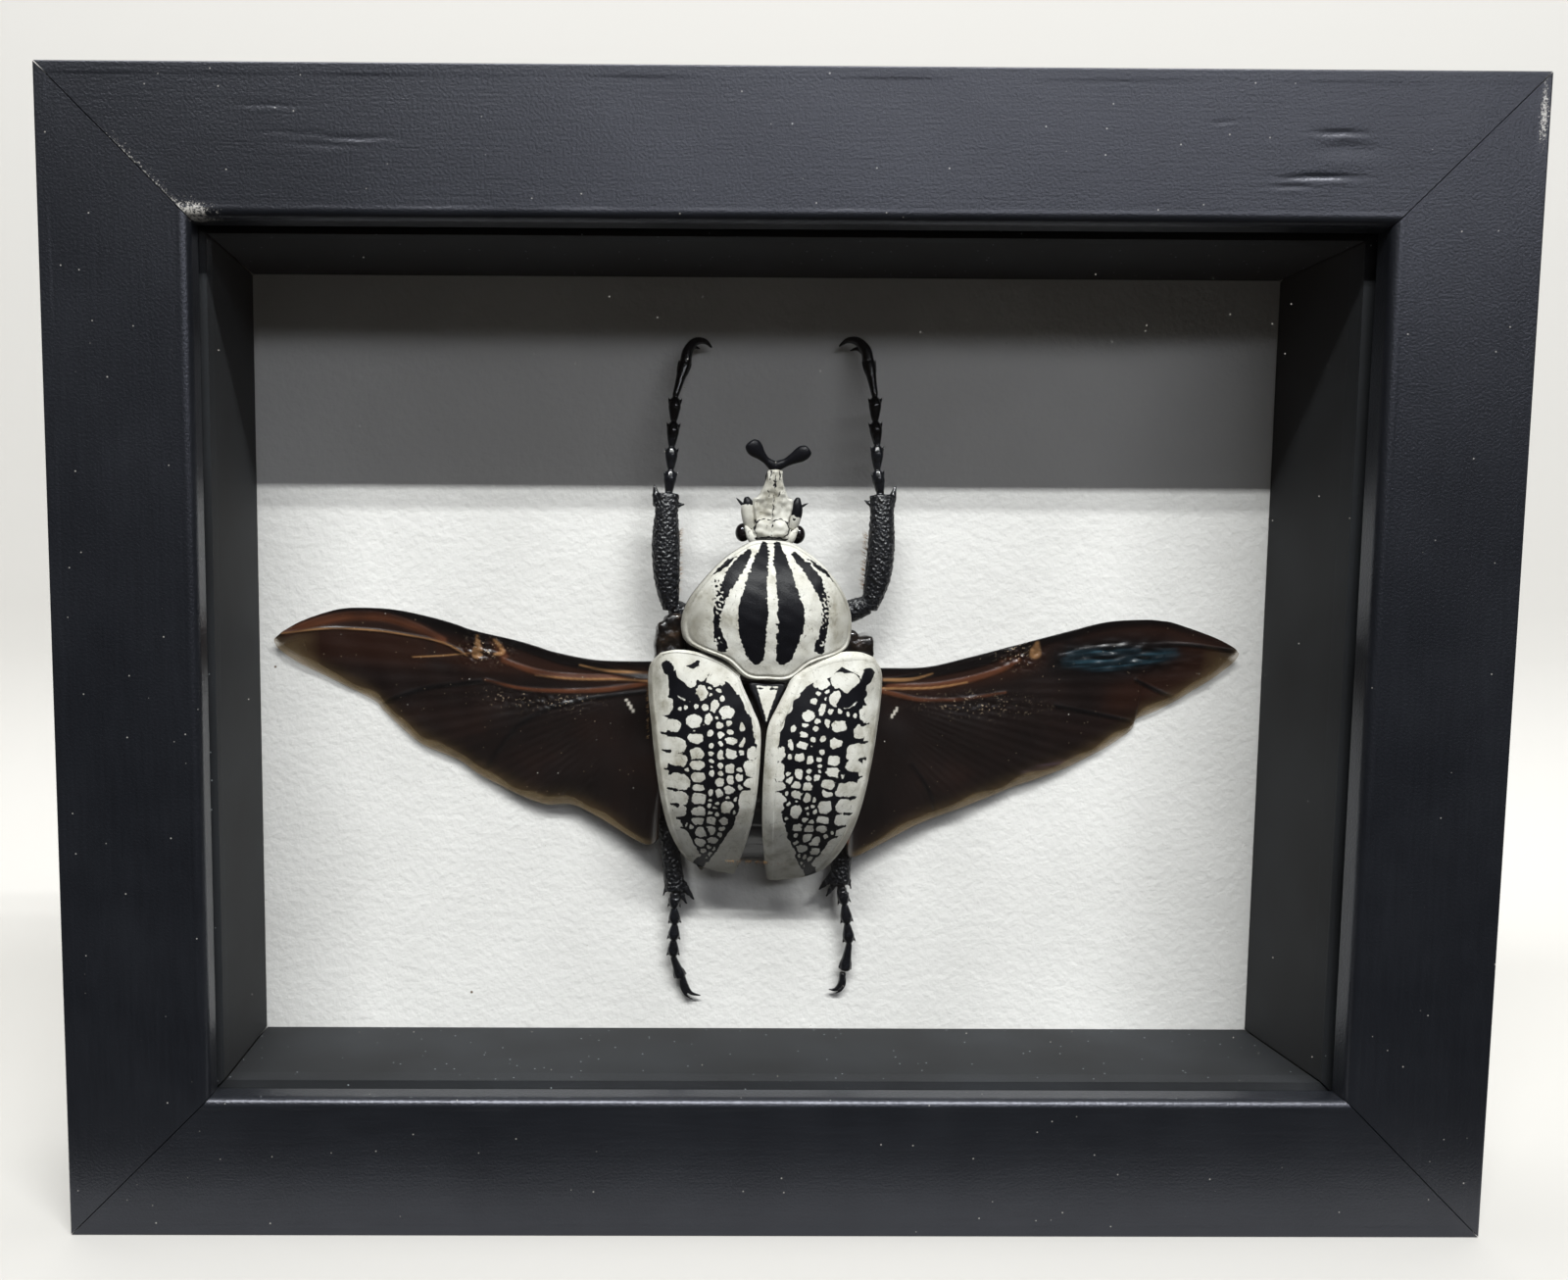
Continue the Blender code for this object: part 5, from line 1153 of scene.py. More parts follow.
# Veins, folds and stains of each wing: kind, softness of the edge, and (across, along, half width) along it
wingMarks = {
    "left": [("orange", 0.6, [(-92.9, 4.2, 0.1), (-86, 6.7, 0.4), (-80, 8.0, 0.5), (-73.4, 8.0, 0.4),
                              (-67.3, 6.2, 0.3), (-62.2, 3.9, 0.1)]),
             ("copper", 1.8,
              [(-62, 2.6, 1.0), (-54, 1.0, 1.6), (-44, 0.6, 1.4), (-34, -0.6, 1.0), (-24, -1.8, 0.5)]),
             ("copper", 2.6, [(-90, 1.8, 1.0), (-80, 2.8, 1.6), (-68, 2.0, 1.4)]),
             ("gold", 0.1, [(-93.4, 4.0, 0.03), (-85, 5.25, 0.04), (-76.4, 5.3, 0.03), (-69.3, 4.6, 0.02),
                            (-62.2, 3.35, 0.02),
                             (-57.5, 1.0, 0.02)]),
             ("gold", 0.12, [(-68.1, 0.35, 0.0), (-62.1, 0.84, 0.02), (-57, 1.55, 0.02)]),
             ("gold", 0.14, [(-35.3, 0.13, 0.03), (-29.7, -0.8, 0.14), (-21.65, -0.95, 0.16)]),
             ("orange", 0.3, [(-50.4, 0.3, 0.15), (-42.8, -1.9, 0.35), (-34.2, -2.35, 0.35),
                              (-26.7, -2.0, 0.3), (-21.6, -2.3, 0.25)]),
             ("gold", 0.1, [(-44, -2.3, 0.03), (-36, -2.7, 0.1), (-28, -2.4, 0.1), (-21.6, -2.5, 0.1)]),
             ("orange", 0.2, [(-53.8, -3.6, 0.05), (-46.2, -5.1, 0.12), (-36.6, -5.1, 0.2),
                              (-29.1, -4.4, 0.25), (-21.6, -2.8, 0.2)]),
             ("dark", 0.4, [(-49.6, 4.35, 0.4), (-39.4, 1.2, 0.7), (-31.75, -0.1, 0.6), (-25.6, -1.5, 0.35),
                            (-21.6, -1.8, 0.25)]),
             ("dark", 0.3, [(-21.5, -4.6, 0.1), (-29, -5.7, 0.15), (-36.5, -7.2, 0.15), (-42.5, -9.5, 0.15),
                            (-47.4, -12.7, 0.12), (-51.3, -17.9, 0.1), (-53.7, -22.0, 0.1)]),
             ("dark", 0.3, [(-54.8, -3.9, 0.1), (-65.8, -5.8, 0.2), (-74.3, -9.1, 0.1)]),
             ("gold", 0.2, [(-55.6, 1.6, 0.9), (-55.5, 3.0, 0.5), (-55.6, 5.0, 0.05)]),
             ("gold", 0.15, [(-52.4, 4.4, 0.05), (-51.0, 3.0, 0.2), (-50.6, 1.9, 0.25), (-52.0, 1.5, 0.1)]),
             ("orange", 0.4, [(-50.2, 1.2, 0.4), (-51.6, 3.2, 0.5), (-53.0, 4.4, 0.2)]),
             ("white", 0.06, [(-24.3, -9.0, 0.03), (-25.2, -7.6, 0.18), (-26.0, -6.3, 0.1)])],
    "right": [("copper", 1.8,
               [(24, -1.6, 0.5), (34, -0.2, 1.0), (44, 2.2, 1.4), (52, 5.0, 1.4), (58, 6.6, 0.6)]),
              ("copper", 2.6, [(64, 8.8, 0.5), (76, 11.0, 0.8), (88, 8.0, 0.6)]),
              ("copper", 3.0, [(72, -2.0, 0.8), (80, 1.5, 1.2), (88, 5.0, 0.8)]),
              ("gold", 0.14, [(24.2, -0.45, 0.16), (29.7, -0.1, 0.16), (33.7, 1.2, 0.03)]),
              ("orange", 0.3, [(25.2, -1.7, 0.3), (33.3, -1.4, 0.35), (40.8, 0.1, 0.35), (47.3, 2.4, 0.25),
                               (50.8, 4.5, 0.1)]),
              ("gold", 0.1, [(21.5, -2.2, 0.1), (33.3, -1.7, 0.12), (40.8, -0.3, 0.05)]),
              ("orange", 0.2, [(23.75, -2.6, 0.25), (29.8, -3.9, 0.2), (33.4, -4.1, 0.15), (40, -3.7, 0.12),
                               (48.5, -2.1, 0.05)]),
              ("dark", 0.4, [(22, -1.2, 0.3), (32, 0.8, 0.4), (42, 3.4, 0.6), (52, 7.2, 0.5)]),
              ("dark", 0.2,
               [(61.8, 6.7, 0.12), (68.4, 7.8, 0.12), (76, 8.4, 0.12), (83.5, 8.7, 0.12), (92.1, 7.9, 0.1)]),
              ("dark", 0.25, [(58.6, -4.3, 0.1), (66.2, -5.5, 0.15), (73.6, -6.7, 0.12)]),
              ("dark", 0.25, [(74.1, 1.4, 0.1), (78.8, -0.7, 0.15), (81.4, -1.6, 0.12)]),
              ("dark", 0.25, [(30.9, -17.0, 0.1), (34.6, -21.9, 0.15), (36.5, -26.8, 0.1)]),
              ("gold", 0.3, [(53.8, 6.0, 0.9), (53.9, 6.9, 0.5), (54.0, 7.9, 0.1)]),
              ("orange", 0.4, [(47.2, 4.6, 0.3), (49.0, 5.6, 0.5), (51.0, 6.4, 0.2)]),
              ("orange", 0.2, [(21.4, -9.0, 0.1), (19.8, -20.0, 0.12), (18.9, -33.0, 0.1)]),
              # Painted sheen: interference colours painted as blue and violet where the membrane is glossy,
              # on a blue-black stain
              ("dark", 3.2, [(59.0, 5.0, 0.6), (68.0, 6.0, 1.8), (78.0, 6.8, 0.8)]),
              ("blue", 0.7, [(60.0, 4.4, 0.2), (68.0, 4.2, 0.5), (75.0, 5.6, 0.5), (81.0, 7.0, 0.2)]),
              ("blue", 0.5, [(60.5, 6.0, 0.1), (67.0, 6.6, 0.3), (74.0, 7.2, 0.1)]),
              ("violet", 0.5, [(53.5, -18.2, 0.2), (59.0, -16.6, 0.6), (64.4, -14.6, 0.2)]),
              ("white", 0.06, [(26.0, -8.1, 0.05), (26.8, -6.8, 0.18), (27.4, -5.7, 0.08)])]}
# Fold of the front edge, wrinkled place (centre and half sizes), root of the pleats and glossy place
wingPlaces = {"left": {"fold": (-54.0, 2.2), "wrinkles": (-43.5, -7.2, 9.5, 1.7), "root": (-17.0, -2.4)},
              "right": {"fold": (50.5, 5.4), "wrinkles": (44.0, -4.6, 9.0, 2.0), "root": (17.0, -2.4),
                        "gloss": (71, 6.0, 9, 2.4)}}


def makeWing(name, hand, side, material):
    stations = wings[hand]
    marks, places = wingMarks[hand], wingPlaces[hand]
    kept = {}

    def shape(s, t):
        at = smooth(stations, s)
        chord = t ** 1.1
        u = at[:, 0] + (at[:, 2] - at[:, 0]) * chord
        v = at[:, 1] + (at[:, 3] - at[:, 1]) * chord
        kept["s"], kept["chord"] = s, chord
        kept["breadth"] = np.hypot(at[:, 2] - at[:, 0], at[:, 3] - at[:, 1])
        dip = wings["dip"] * np.sin(math.pi * np.minimum(1, s * 1.1))
        droop = wings["droop"] * chord * np.sin(math.pi * np.minimum(1, 0.15 + 0.85 * s))
        down = np.clip((s - wings["sinkFrom"]) / (wings["sinkTo"] - wings["sinkFrom"]), 0, 1)
        eased = down * down * (3 - 2 * down)
        # The hind margin hangs down to the card, but not over the hind legs
        hang = chord ** 2 * np.clip((s - 0.02) / 0.08, 0, 1) * (1 - eased)
        sink = wings["sink"] * eased + wings["hang"] * hang
        kept["u"], kept["v"] = u, v
        h = wings["level"] - dip - droop - sink
        # Pleats and fine lines fan out from the root
        rootU, rootV = places["root"]
        fan = np.arctan2(v - rootV, side * (u - rootU))
        out = np.clip((side * (u - rootU) - 5) / 14, 0, 1) * np.clip(chord * 4 - 0.6, 0, 1)
        h = h + (0.1 * np.sin(fan * 15 + 1.2 * waves(u, v, 20, 81)) + 0.04 * np.sin(fan * 120)) * out
        h = h + 0.25 * waves(u, v, 10.0, 82) * np.clip(chord * 3, 0, 1)
        # Wrinkles at the fold and below the veins
        crumple = hill(u, v, *places["fold"], 4.0, 2.4) + 0.45 * hill(u, v, *places["wrinkles"])
        h = h + 0.3 * crumple * (waves(u, v, 1.6, 86, 12) + 0.5 * waves(u, v, 0.9, 88, 12))
        if "gloss" in places:
            h = h + 0.3 * hill(u, v, *places["gloss"]) * waves(u * 0.35, v, 1.5, 87, 10)
        h = h + 0.5 * np.exp(-(chord * kept["breadth"] / 1.2) ** 2) * np.clip(1.1 - s, 0, 1)
        for kind, soft, stroke in marks:
            if kind in ("gold", "orange") and len(stroke) > 3:
                ridge = np.exp(-(np.clip(strokeDistance(u, v, stroke), 0, None) / 0.3) ** 2)
                h = h + (0.16 if soft < 0.5 else 0.08) * ridge
            elif kind == "dark":
                h = h + 0.14 * np.exp(-(np.clip(strokeDistance(u, v, stroke), 0, None) / 0.3) ** 2)
        u, v = spread(u, v, sink)
        return u, np.maximum(h, 0.35), v

    piece = gridPiece(name, 330, 130, shape)
    u, v, chord, breadth = kept["u"], kept["v"], kept["chord"], kept["breadth"]
    amounts = {kind: np.zeros(u.shape)
               for kind in ("copper", "orange", "gold", "dark", "blue", "violet", "white")}
    for kind, soft, stroke in marks:
        gap = np.clip(strokeDistance(u, v, stroke), 0, None)
        amounts[kind] = np.maximum(amounts[kind],
                                   np.exp(-(gap / soft) ** 2) * (0.62 if kind == "gold" else 0.9))
    lead = chord * breadth
    reachOut = np.abs(u)
    band = 1.5 + 1.5 * np.clip((reachOut - 25) / 30, 0, 1) * np.clip((78 - reachOut) / 15, 0, 1)
    amounts["dark"] = np.maximum(amounts["dark"],
                                 0.85 * np.clip(1.3 - lead / band, 0, 1) * np.clip((90 - reachOut) / 8, 0, 1))
    for kind, amount in amounts.items():
        patchy = np.clip((waves(u, v, 5, 83) + 1.8) / 2, 0, 1) if kind in ("gold", "orange") else 1.0
        # The painted blue and violet sheen lies in thin streaks
        if kind in ("blue", "violet"):
            patchy = 0.12 + 0.34 * np.clip(waves(u * 0.05, v - 0.12 * u, 0.7, 89, 12), 0, 1)
        setMark(piece, kind, np.clip(amount * patchy, 0, 1))
    trail = (1 - chord) * breadth
    tip = np.clip((reachOut - 86) / 7, 0, 1) * np.clip((lead - 1.5) / 2.5, 0, 1)
    margin = np.exp(-(trail / 2.2) ** 2) * np.clip((reachOut - 20) / 8, 0.2, 1)
    rim = np.clip(1.7 - trail / (1.0 + 0.35 * waves(u, v, 9, 84)), 0, 1) * np.clip((reachOut - 19) / 6, 0, 1)
    setMark(piece, "tip", np.clip(0.85 * tip + 0.5 * margin, 0, 1))
    setMark(piece, "rim", 0.8 * rim)
    setMark(piece, "clear", np.clip(0.45 * tip + 0.15 * margin + 0.6 * rim, 0, 0.7))
    # Where the painted glints go: the fold and the wrinkled place
    flecks = hill(u, v, *places["fold"], 3.2, 2.0) + 0.5 * hill(u, v, *places["wrinkles"])
    setMark(piece, "fleck", np.clip(flecks, 0, 1))
    applyModifier(piece, "SOLIDIFY", thickness=wings["thickness"] * mm, offset=0.0)
    tidyMesh(piece)
    dress(piece, material, "wing_membrane", name.replace("flight_wing", "hindwing"))
    print(name, "made")


# Legs: (across, off the card, along, half width, half thickness) from the body to the last foot joint

legs = {
    "foreleg_left": {"thigh": [(-13.4, 6.0, 10.6, 1.2, 1.2), (-15.4, 6.5, 11.0, 1.9, 1.7),
                               (-18.0, 7.2, 12.2, 1.5, 1.4)],
                     "shin": [(-17.9, 7.2, 11.6, 1.6, 1.5), (-18.6, 7.6, 14.6, 2.1, 1.7),
                              (-19.2, 8.0, 18.8, 2.6, 1.9), (-19.6, 8.2, 25.0, 2.7, 1.9),
                              (-19.7, 8.2, 30.5, 2.25, 1.7), (-19.7, 8.0, 34.0, 2.4, 1.5)],
                     "foot": [(-19.4, 7.8, 33.8), (-19.2, 7.6, 38.6), (-19.2, 7.4, 43.0), (-19.0, 7.0, 47.9),
                              (-18.9, 6.6, 52.6), (-17.1, 5.0, 59.8)],
                     "spikes": [((-21.4, 8.0, 31.4), (-22.3, 8.0, 35.6), 1.0),
                                ((-18.2, 8.0, 31.6), (-16.2, 8.0, 32.0), 0.6)],
                     "claws": [[(-17.1, 5.0, 59.2), (-16.8, 4.6, 61.6), (-15.4, 3.8, 63.6),
                                (-13.4, 3.0, 63.9), (-11.9, 2.4, 62.8)],
                               [(-17.2, 4.8, 59.2), (-17.0, 3.6, 61.4), (-15.6, 2.6, 62.8),
                                (-14.2, 2.0, 62.6)]]},
    "foreleg_right": {"thigh": [(13.2, 6.0, 10.4, 1.3, 1.3), (17.2, 6.6, 12.6, 2.2, 1.8),
                                (20.8, 7.2, 14.2, 1.8, 1.6)],
                      "shin": [(20.6, 7.2, 13.2, 1.6, 1.5), (21.4, 7.6, 16.2, 2.1, 1.7),
                               (22.0, 8.0, 20.4, 2.6, 1.9), (22.2, 8.2, 26.0, 2.6, 1.9),
                               (22.0, 8.2, 31.5, 2.3, 1.7), (21.8, 8.0, 35.4, 2.35, 1.5)],
                      "foot": [(21.6, 7.8, 35.2), (20.7, 7.6, 40.2), (20.5, 7.3, 44.9), (19.9, 7.0, 49.5),
                               (19.7, 6.6, 54.2), (18.3, 5.0, 61.4)],
                      "spikes": [((23.4, 8.0, 32.8), (24.4, 8.0, 37.2), 1.0),
                                 ((20.4, 8.0, 33.0), (18.4, 8.0, 34.2), 0.6)],
                      "claws": [[(18.3, 5.0, 60.8), (17.8, 4.6, 63.2), (16.2, 3.8, 65.0), (14.3, 3.0, 65.2),
                                 (12.8, 2.4, 64.0)],
                                [(18.4, 4.8, 60.8), (18.0, 3.6, 62.6), (16.6, 2.6, 63.8),
                                 (15.0, 2.0, 63.4)]]},
    "midleg_left": {"thigh": [(-18.4, 3.4, -5.0, 1.4, 1.3), (-23.0, 3.6, -4.0, 1.9, 1.7),
                              (-28.0, 3.4, -4.6, 1.3, 1.2)],
                    "shin": [(-28.0, 3.4, -4.6, 1.3, 1.2), (-30.0, 3.2, -8.0, 1.6, 1.3),
                             (-33.0, 2.8, -16.0, 1.9, 1.5)],
                    "foot": [(-33.4, 2.5, -17.0), (-34.6, 2.2, -19.6), (-36.4, 1.6, -23.2)], "spikes": [],
                    "claws": [[(-36.4, 1.6, -22.8), (-37.2, 1.3, -24.6), (-37.0, 1.0, -26.0)]]},
    "hindleg_left": {"thigh": [(-18.0, 3.6, -13.0, 1.4, 1.4), (-19.8, 3.8, -17.0, 2.0, 1.8),
                               (-19.4, 4.0, -22.0, 1.5, 1.5)],
                     "shin": [(-19.6, 4.0, -21.0, 1.5, 1.5), (-18.4, 3.8, -26.0, 1.8, 1.4),
                              (-16.4, 3.5, -34.0, 1.8, 1.4), (-15.0, 3.5, -42.0, 2.0, 1.5),
                              (-14.6, 3.6, -45.0, 2.1, 1.4)],
                     "foot": [(-14.6, 3.7, -44.8), (-14.6, 3.3, -48.7), (-14.3, 3.0, -52.1),
                              (-14.4, 2.6, -55.5), (-14.3, 2.2, -59.0), (-12.5, 1.7, -63.4)],
                     "spikes": [((-13.6, 3.8, -43.0), (-10.6, 3.6, -46.8), 0.9),
                                ((-14.6, 3.8, -43.4), (-12.0, 3.2, -47.8), 0.8),
                                ((-16.0, 3.8, -43.4), (-17.0, 3.6, -46.2), 0.5)],
                     "claws": [[(-12.4, 1.7, -62.8), (-11.5, 1.5, -65.0), (-10.2, 1.3, -66.7),
                                (-8.1, 1.1, -67.2)],
                               [(-12.5, 1.7, -62.8), (-12.2, 1.4, -65.4), (-11.2, 1.2, -67.2),
                                (-9.6, 1.1, -68.2)]]},
    "hindleg_right": {"thigh": [(18.0, 3.6, -13.0, 1.4, 1.4), (20.2, 3.8, -17.0, 2.0, 1.8),
                                (20.4, 4.0, -22.0, 1.5, 1.5)],
                      "shin": [(20.4, 4.0, -21.0, 1.5, 1.5), (20.0, 3.8, -26.0, 1.8, 1.4),
                               (19.3, 3.5, -33.0, 1.8, 1.4), (18.7, 3.5, -39.0, 2.0, 1.5),
                               (18.6, 3.6, -42.4, 2.1, 1.4)],
                      "foot": [(18.8, 3.7, -42.2), (19.9, 3.3, -46.7), (20.7, 2.9, -50.7), (21.4, 2.5, -54.8),
                               (20.9, 1.8, -60.6)],
                      "spikes": [((17.4, 3.8, -40.2), (14.4, 3.6, -43.8), 0.9),
                                 ((18.4, 3.8, -40.8), (16.0, 3.2, -45.2), 0.8),
                                 ((20.0, 3.8, -40.6), (21.0, 3.6, -43.4), 0.5)],
                      "claws": [[(20.6, 1.7, -61.0), (20.4, 1.5, -63.2), (19.4, 1.3, -64.8),
                                 (17.9, 1.1, -64.9)],
                                [(20.6, 1.7, -61.0), (21.0, 1.4, -63.4), (20.4, 1.2, -65.0),
                                 (19.2, 1.1, -65.8)]]}}
legs["midleg_right"] = {"thigh": [(-p[0], *p[1:]) for p in legs["midleg_left"]["thigh"]],
                        "shin": [(-p[0], *p[1:]) for p in legs["midleg_left"]["shin"]],
                        "foot": [(-p[0], *p[1:]) for p in legs["midleg_left"]["foot"]], "spikes": [],
                        "claws": [[(-p[0], *p[1:]) for p in claw] for claw in legs["midleg_left"]["claws"]]}
# Foot joints: (share of the length, half width, half thickness)
footJoint = {"club": [(-0.04, 0.6, 0.54), (0.32, 0.98, 0.833), (0.64, 1.2, 1.02), (0.98, 0.7, 0.595)],
             "last": [(-0.04, 0.62, 0.6), (0.4, 0.85, 0.8), (0.8, 1.15, 1.0), (1.0, 1.0, 0.9)],
             "spur": 0.34}


def taperPath(points, radius, last=0.15, fullness=1.7):
    count = len(points) - 1
    thin = [1 - (1 - last) * (k / count) ** fullness for k in range(count + 1)]
    return [(*p, radius * k, radius * k) for p, k in zip(points, thin)]


def makeLeg(name, material):
    leg = legs[name]
    parts = [tubePiece("thigh", leg["thigh"], 24, 40, 0.1), tubePiece("shin", leg["shin"], 28, 80, 0.03)]
    lastJoint = len(leg["foot"]) - 2
    for number, (root, tip) in enumerate(zip(leg["foot"], leg["foot"][1:])):
        # Each foot joint is a small club: narrow at its root, swollen before its end
        root, tip = np.array(root), np.array(tip)
        share = lambda k: tuple(root + (tip - root) * k)
        club = footJoint["last" if number == lastJoint else "club"]
        path = [(*share(part), breadth, depth) for part, breadth, depth in club]
        parts.append(tubePiece("joint", path, 20, 30, 0.1))
        sideways = np.cross(tip - root, (0, 1, 0))
        sideways = sideways / np.linalg.norm(sideways)
        for way in (-1, 1):
            start = np.array(share(0.62)) + sideways * way * 0.8
            end = np.array(share(0.98)) + sideways * way * 1.4
            spur = taperPath([tuple(start), tuple((start + end) / 2), tuple(end)], footJoint["spur"])
            parts.append(tubePiece("spur", spur, 8, 10, 0.1))
    for root, tip, radius in leg["spikes"]:
        middle = tuple((np.array(root) + np.array(tip)) / 2)
        parts.append(tubePiece("spike", taperPath([root, middle, tip], radius), 14, 20, 0.06))
    for number, claw in enumerate(leg["claws"]):
        radius = (1.15 if number == 0 else 0.8) if "fore" in name else (0.72 if number == 0 else 0.5)
        parts.append(tubePiece("claw", taperPath(claw, radius), 16, 40, 0.05))
    made = joinPieces(name.replace("leg", "_leg"), parts)
    remesh(made, 0.3 if "mid" in name else 0.16, 2)
    u, h, v = offCard(made)
    shin = np.array(leg["shin"])
    low, high = sorted((shin[0, 2], shin[-1, 2]))
    grain = np.clip((v - low + 3) / 1.5, 0, 1) * np.clip((high - v + 0.3) / 1.2, 0, 1)
    setMark(made, "grain", grain)
    swell(made, 0.08 * grain * waves(u + h, v, 1.0, 91, 14) + 0.05 * grain * waves(u, v + h, 0.6, 92, 14))
    tidyMesh(made)
    dress(made, material, "black_cuticle", name)
    print(name, "made")


# Bristles: fine cones joined in one mesh

bristles = {"rows": [((-17.0, 7.6, 14.5), (-17.2, 8.0, 27.0), (1.0, 0.2, 0.5), 70, 1.5),
                     ((19.4, 7.6, 16.0), (19.5, 8.0, 28.0), (-1.0, 0.2, 0.5), 70, 1.5),
                     ((-21.8, 9.6, -2.0), (-21.4, 9.6, -14.0), (-0.8, 0.2, -0.4), 60, 0.9),
                     ((21.8, 9.6, -2.0), (21.4, 9.6, -14.0), (0.8, 0.2, -0.4), 60, 0.9),
                     ((-6.5, 11.0, -36.8), (6.5, 11.0, -36.8), (0.0, 0.1, -1.0), 60, 1.0)],
            "thickness": 0.06}


def makeBristles(material):
    dice = random.Random(5)
    points, faces = [], []
    for start, end, lean, count, length in bristles["rows"]:
        for _ in range(count):
            k = dice.random()
            root = np.array([a + (b - a) * k + dice.uniform(-0.15, 0.15) for a, b in zip(start, end)])
            way = np.array(lean) + [dice.uniform(-0.3, 0.3) for _ in range(3)]
            tip = root + way / np.linalg.norm(way) * length * dice.uniform(0.6, 1.1)
            side = np.cross(way, (0, 1, 0.1))
            side = side / np.linalg.norm(side) * bristles["thickness"]
            up = np.cross(side, way)
            up = up / np.linalg.norm(up) * bristles["thickness"]
            first = len(points)
            points += [root + side, root - side / 2 + up, root - side / 2 - up, tip]
            faces += [(first, first + 1, first + 3), (first + 1, first + 2, first + 3),
                      (first + 2, first, first + 3),
                      (first, first + 2, first + 1)]
    places = np.array(points)
    mesh = bpy.data.meshes.new("tan_bristles")
    mesh.from_pydata([tuple(p) for p in onCard(places[:, 0], places[:, 1], places[:, 2])], [], faces)
    made = bpy.data.objects.new("tan_bristles", mesh)
    bpy.context.collection.objects.link(made)
    tidyMesh(made)
    made.data.materials.append(material)
    finishPiece(made, "brown_cuticle")


# Camera, light and floor

studio = {"floorColour": "#b9b8b4", "worldColour": "#f0dccc", "worldStrength": 0.028, "worldSeen": 0.8,
          "keyPower": 47.0, "keyRise": 1.137, "secondPower": 27.0, "secondRise": 1.252, "lampAway": 1.8,
          "lampAcross": 0.12, "lampLength": 1.95, "lampSize": 0.029,
          "halfWide": 0.8, "front": -0.045, "wallAt": 0.26, "bend": 0.1, "tall": 0.7}
# Metres: one lamp lights the wall behind, the other is mirrored in the top and right rails
softLamps = {"wall": {"at": (0, 0.08, 0.95), "aim": (0, 0.3, 0.15), "power": 3.6,
                      "wide": 0.9, "deep": 0.3, "colour": "#ffffff"},
             "fill": {"at": (0.42, -1.1, 0.585), "aim": (0.05, 0, 0.16), "power": 2.8,
                      "wide": 1.2, "deep": 0.11, "colour": "#f4f6ff"}}
# Camera fitted to the frame's corners: pixels, then metres and directions
photoFrame = {"width": 1600, "height": 1306, "focal": 1350.0, "middle": (635.05, 723.64),
              "eye": (-0.02988, -0.25194, 0.11557), "right": (0.99997, -0.0061, 0.00495),
              "forward": (0.00652, 0.99608, -0.08827)}


def makeCamera():
    data = bpy.data.cameras.new("camera")
    camera = bpy.data.objects.new("camera", data)
    bpy.context.collection.objects.link(camera)
    right = Vector(photoFrame["right"]).normalized()
    forward = Vector(photoFrame["forward"]).normalized()
    up = right.cross(forward).normalized()
    turned = Matrix((right, up, -forward)).transposed().to_4x4()
    camera.matrix_world = Matrix.Translation(photoFrame["eye"]) @ turned
    width, height = photoFrame["width"], photoFrame["height"]
    data.sensor_width = 36.0
    data.lens = photoFrame["focal"] / width * data.sensor_width
    data.shift_x = (width / 2 - photoFrame["middle"][0]) / width
    data.shift_y = (photoFrame["middle"][1] - height / 2) / width
    data.clip_start = 0.001
    bpy.context.scene.camera = camera


def addLamp(name, place, aim, power, length, breadth, colour="#ffffff"):
    data = bpy.data.lights.new(name, "AREA")
    data.energy = power
    data.shape = "RECTANGLE"
    data.size = length
    data.size_y = breadth
    data.color = hexColour(colour)[:3]
    lamp = bpy.data.objects.new(name, data)
    bpy.context.collection.objects.link(lamp)
    lamp.location = place
    lamp.rotation_euler = (Vector(aim) - Vector(place)).to_track_quat("-Z", "Y").to_euler()


def paleBoard():
    # Painted board that the camera sees through from behind, so that the back of the object shows too
    material, tree, shader, _ = newMaterial("palePaintedBoard", studio["floorColour"], 0.75)
    behind = addNode(tree, "ShaderNodeNewGeometry").outputs["Backfacing"]
    seen = addNode(tree, "ShaderNodeLightPath").outputs["Is Camera Ray"]
    both = addNode(tree, "ShaderNodeMath", {"operation": "MULTIPLY"}, {0: behind, 1: seen}).outputs[0]
    clear = addNode(tree, "ShaderNodeBsdfTransparent")
    board = addNode(tree, "ShaderNodeMixShader", {}, {0: both, 1: shader.outputs[0], 2: clear.outputs[0]})
    tree.links.new(board.outputs[0], tree.nodes["Material Output"].inputs["Surface"])
    return material


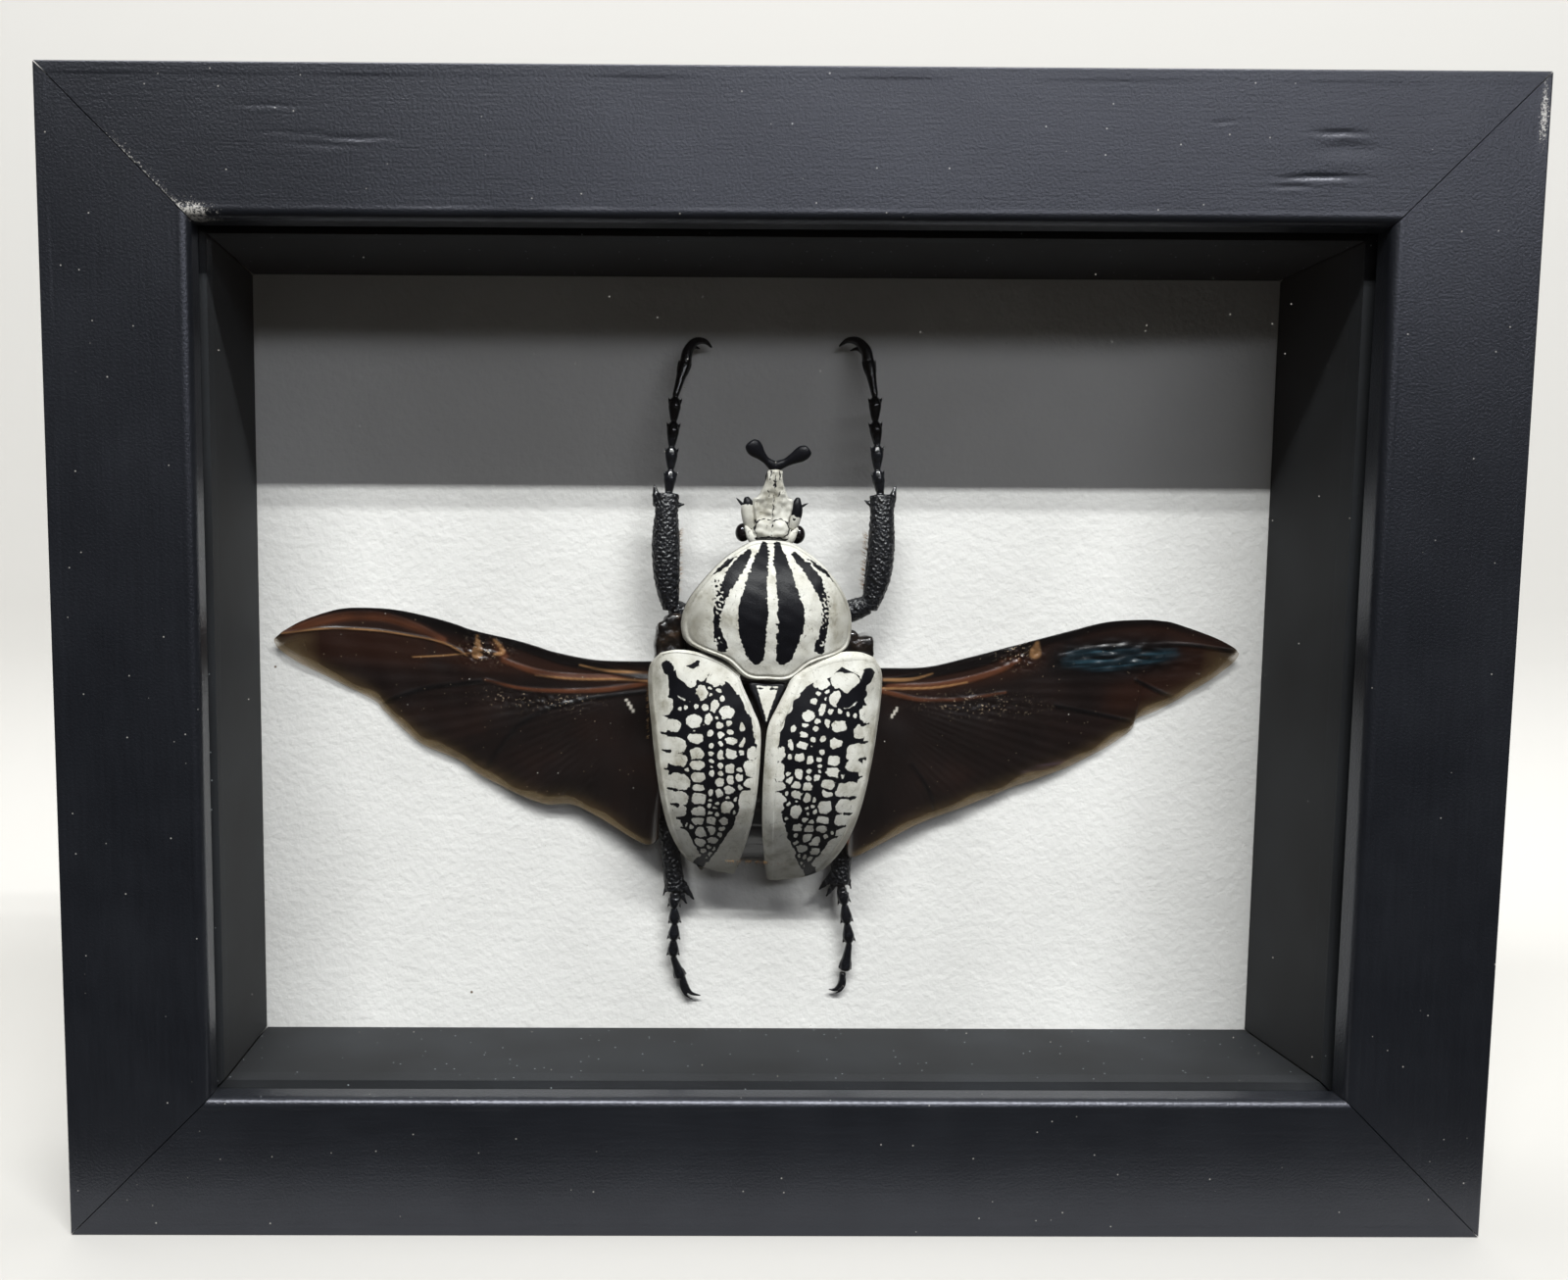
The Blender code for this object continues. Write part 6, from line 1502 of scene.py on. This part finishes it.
def makeCove(material):
    # Table top that curves up into the wall behind
    deselect()
    bpy.ops.mesh.primitive_grid_add(x_subdivisions=2, y_subdivisions=60, size=1.0)
    cove = bpy.context.object
    cove.name = "pale_cove"
    bend, level = studio["bend"], studio["wallAt"] - studio["bend"] - studio["front"]
    whole = level + bend * math.pi / 2 + studio["tall"]
    for vertex in cove.data.vertices:
        run = (vertex.co.y + 0.5) * whole
        turn = min(max((run - level) / bend, 0), math.pi / 2)
        rise = max(run - level - bend * math.pi / 2, 0)
        vertex.co = (vertex.co.x * 2 * studio["halfWide"],
                     studio["front"] + min(run, level) + bend * math.sin(turn),
                     bend * (1 - math.cos(turn)) + rise)
    cove.data.materials.append(material)
    bpy.ops.object.shade_smooth()


def makeStudio():
    # Two long tubes above the front: the top rail's shadow is crisp,
    # and all else that they cast is smeared sideways
    edge = Vector((0.0, cadBox[0].y, cadBox[1].z - rails["faceWidth"] * mm))
    sideways = Vector((studio["lampAcross"], 0, 0))
    for name in ("key", "second"):
        turn = math.atan(studio[name + "Rise"])
        away = Vector((0, -math.cos(turn) * studio["lampAway"], math.sin(turn) * studio["lampAway"]))
        addLamp(name, edge + sideways + away, edge + sideways, studio[name + "Power"],
                studio["lampLength"], studio["lampSize"])
    for name, lamp in softLamps.items():
        addLamp(name, lamp["at"], lamp["aim"], lamp["power"], lamp["wide"], lamp["deep"], lamp["colour"])
    world = bpy.data.worlds.new("paleRoom")
    world.use_nodes = True
    tree = world.node_tree
    background = tree.nodes["Background"]
    background.inputs["Color"].default_value = hexColour(studio["worldColour"])
    # Its light is faint, but it is pale where the camera sees past the floor
    seen = addNode(tree, "ShaderNodeLightPath").outputs["Is Camera Ray"]
    strength = addNode(tree, "ShaderNodeMapRange",
                       {"To Min": studio["worldStrength"], "To Max": studio["worldSeen"]}, {"Value": seen})
    tree.links.new(strength.outputs[0], background.inputs["Strength"])
    bpy.context.scene.world = world
    makeCove(paleBoard())
    bpy.context.scene.view_settings.view_transform = "Standard"
    print("studio made")


makeCamera()
makeStudio()
dressFrame()
chalk = patternedCuticle()
blackChitin = blackLegCuticle()
membrane = wingMembrane()
makePronotum(chalk)
makeScutellum(chalk)
makeElytron("wing_case_left", -1, chalk)
makeElytron("wing_case_right", 1, chalk)
makeHead(chalk, eyeLens())
makeTrunk(brownBodyCuticle())
makeWing("flight_wing_left", "left", -1, membrane)
makeWing("flight_wing_right", "right", 1, membrane)
for legName in legs:
    makeLeg(legName, blackChitin)
makeBristles(tanHair())
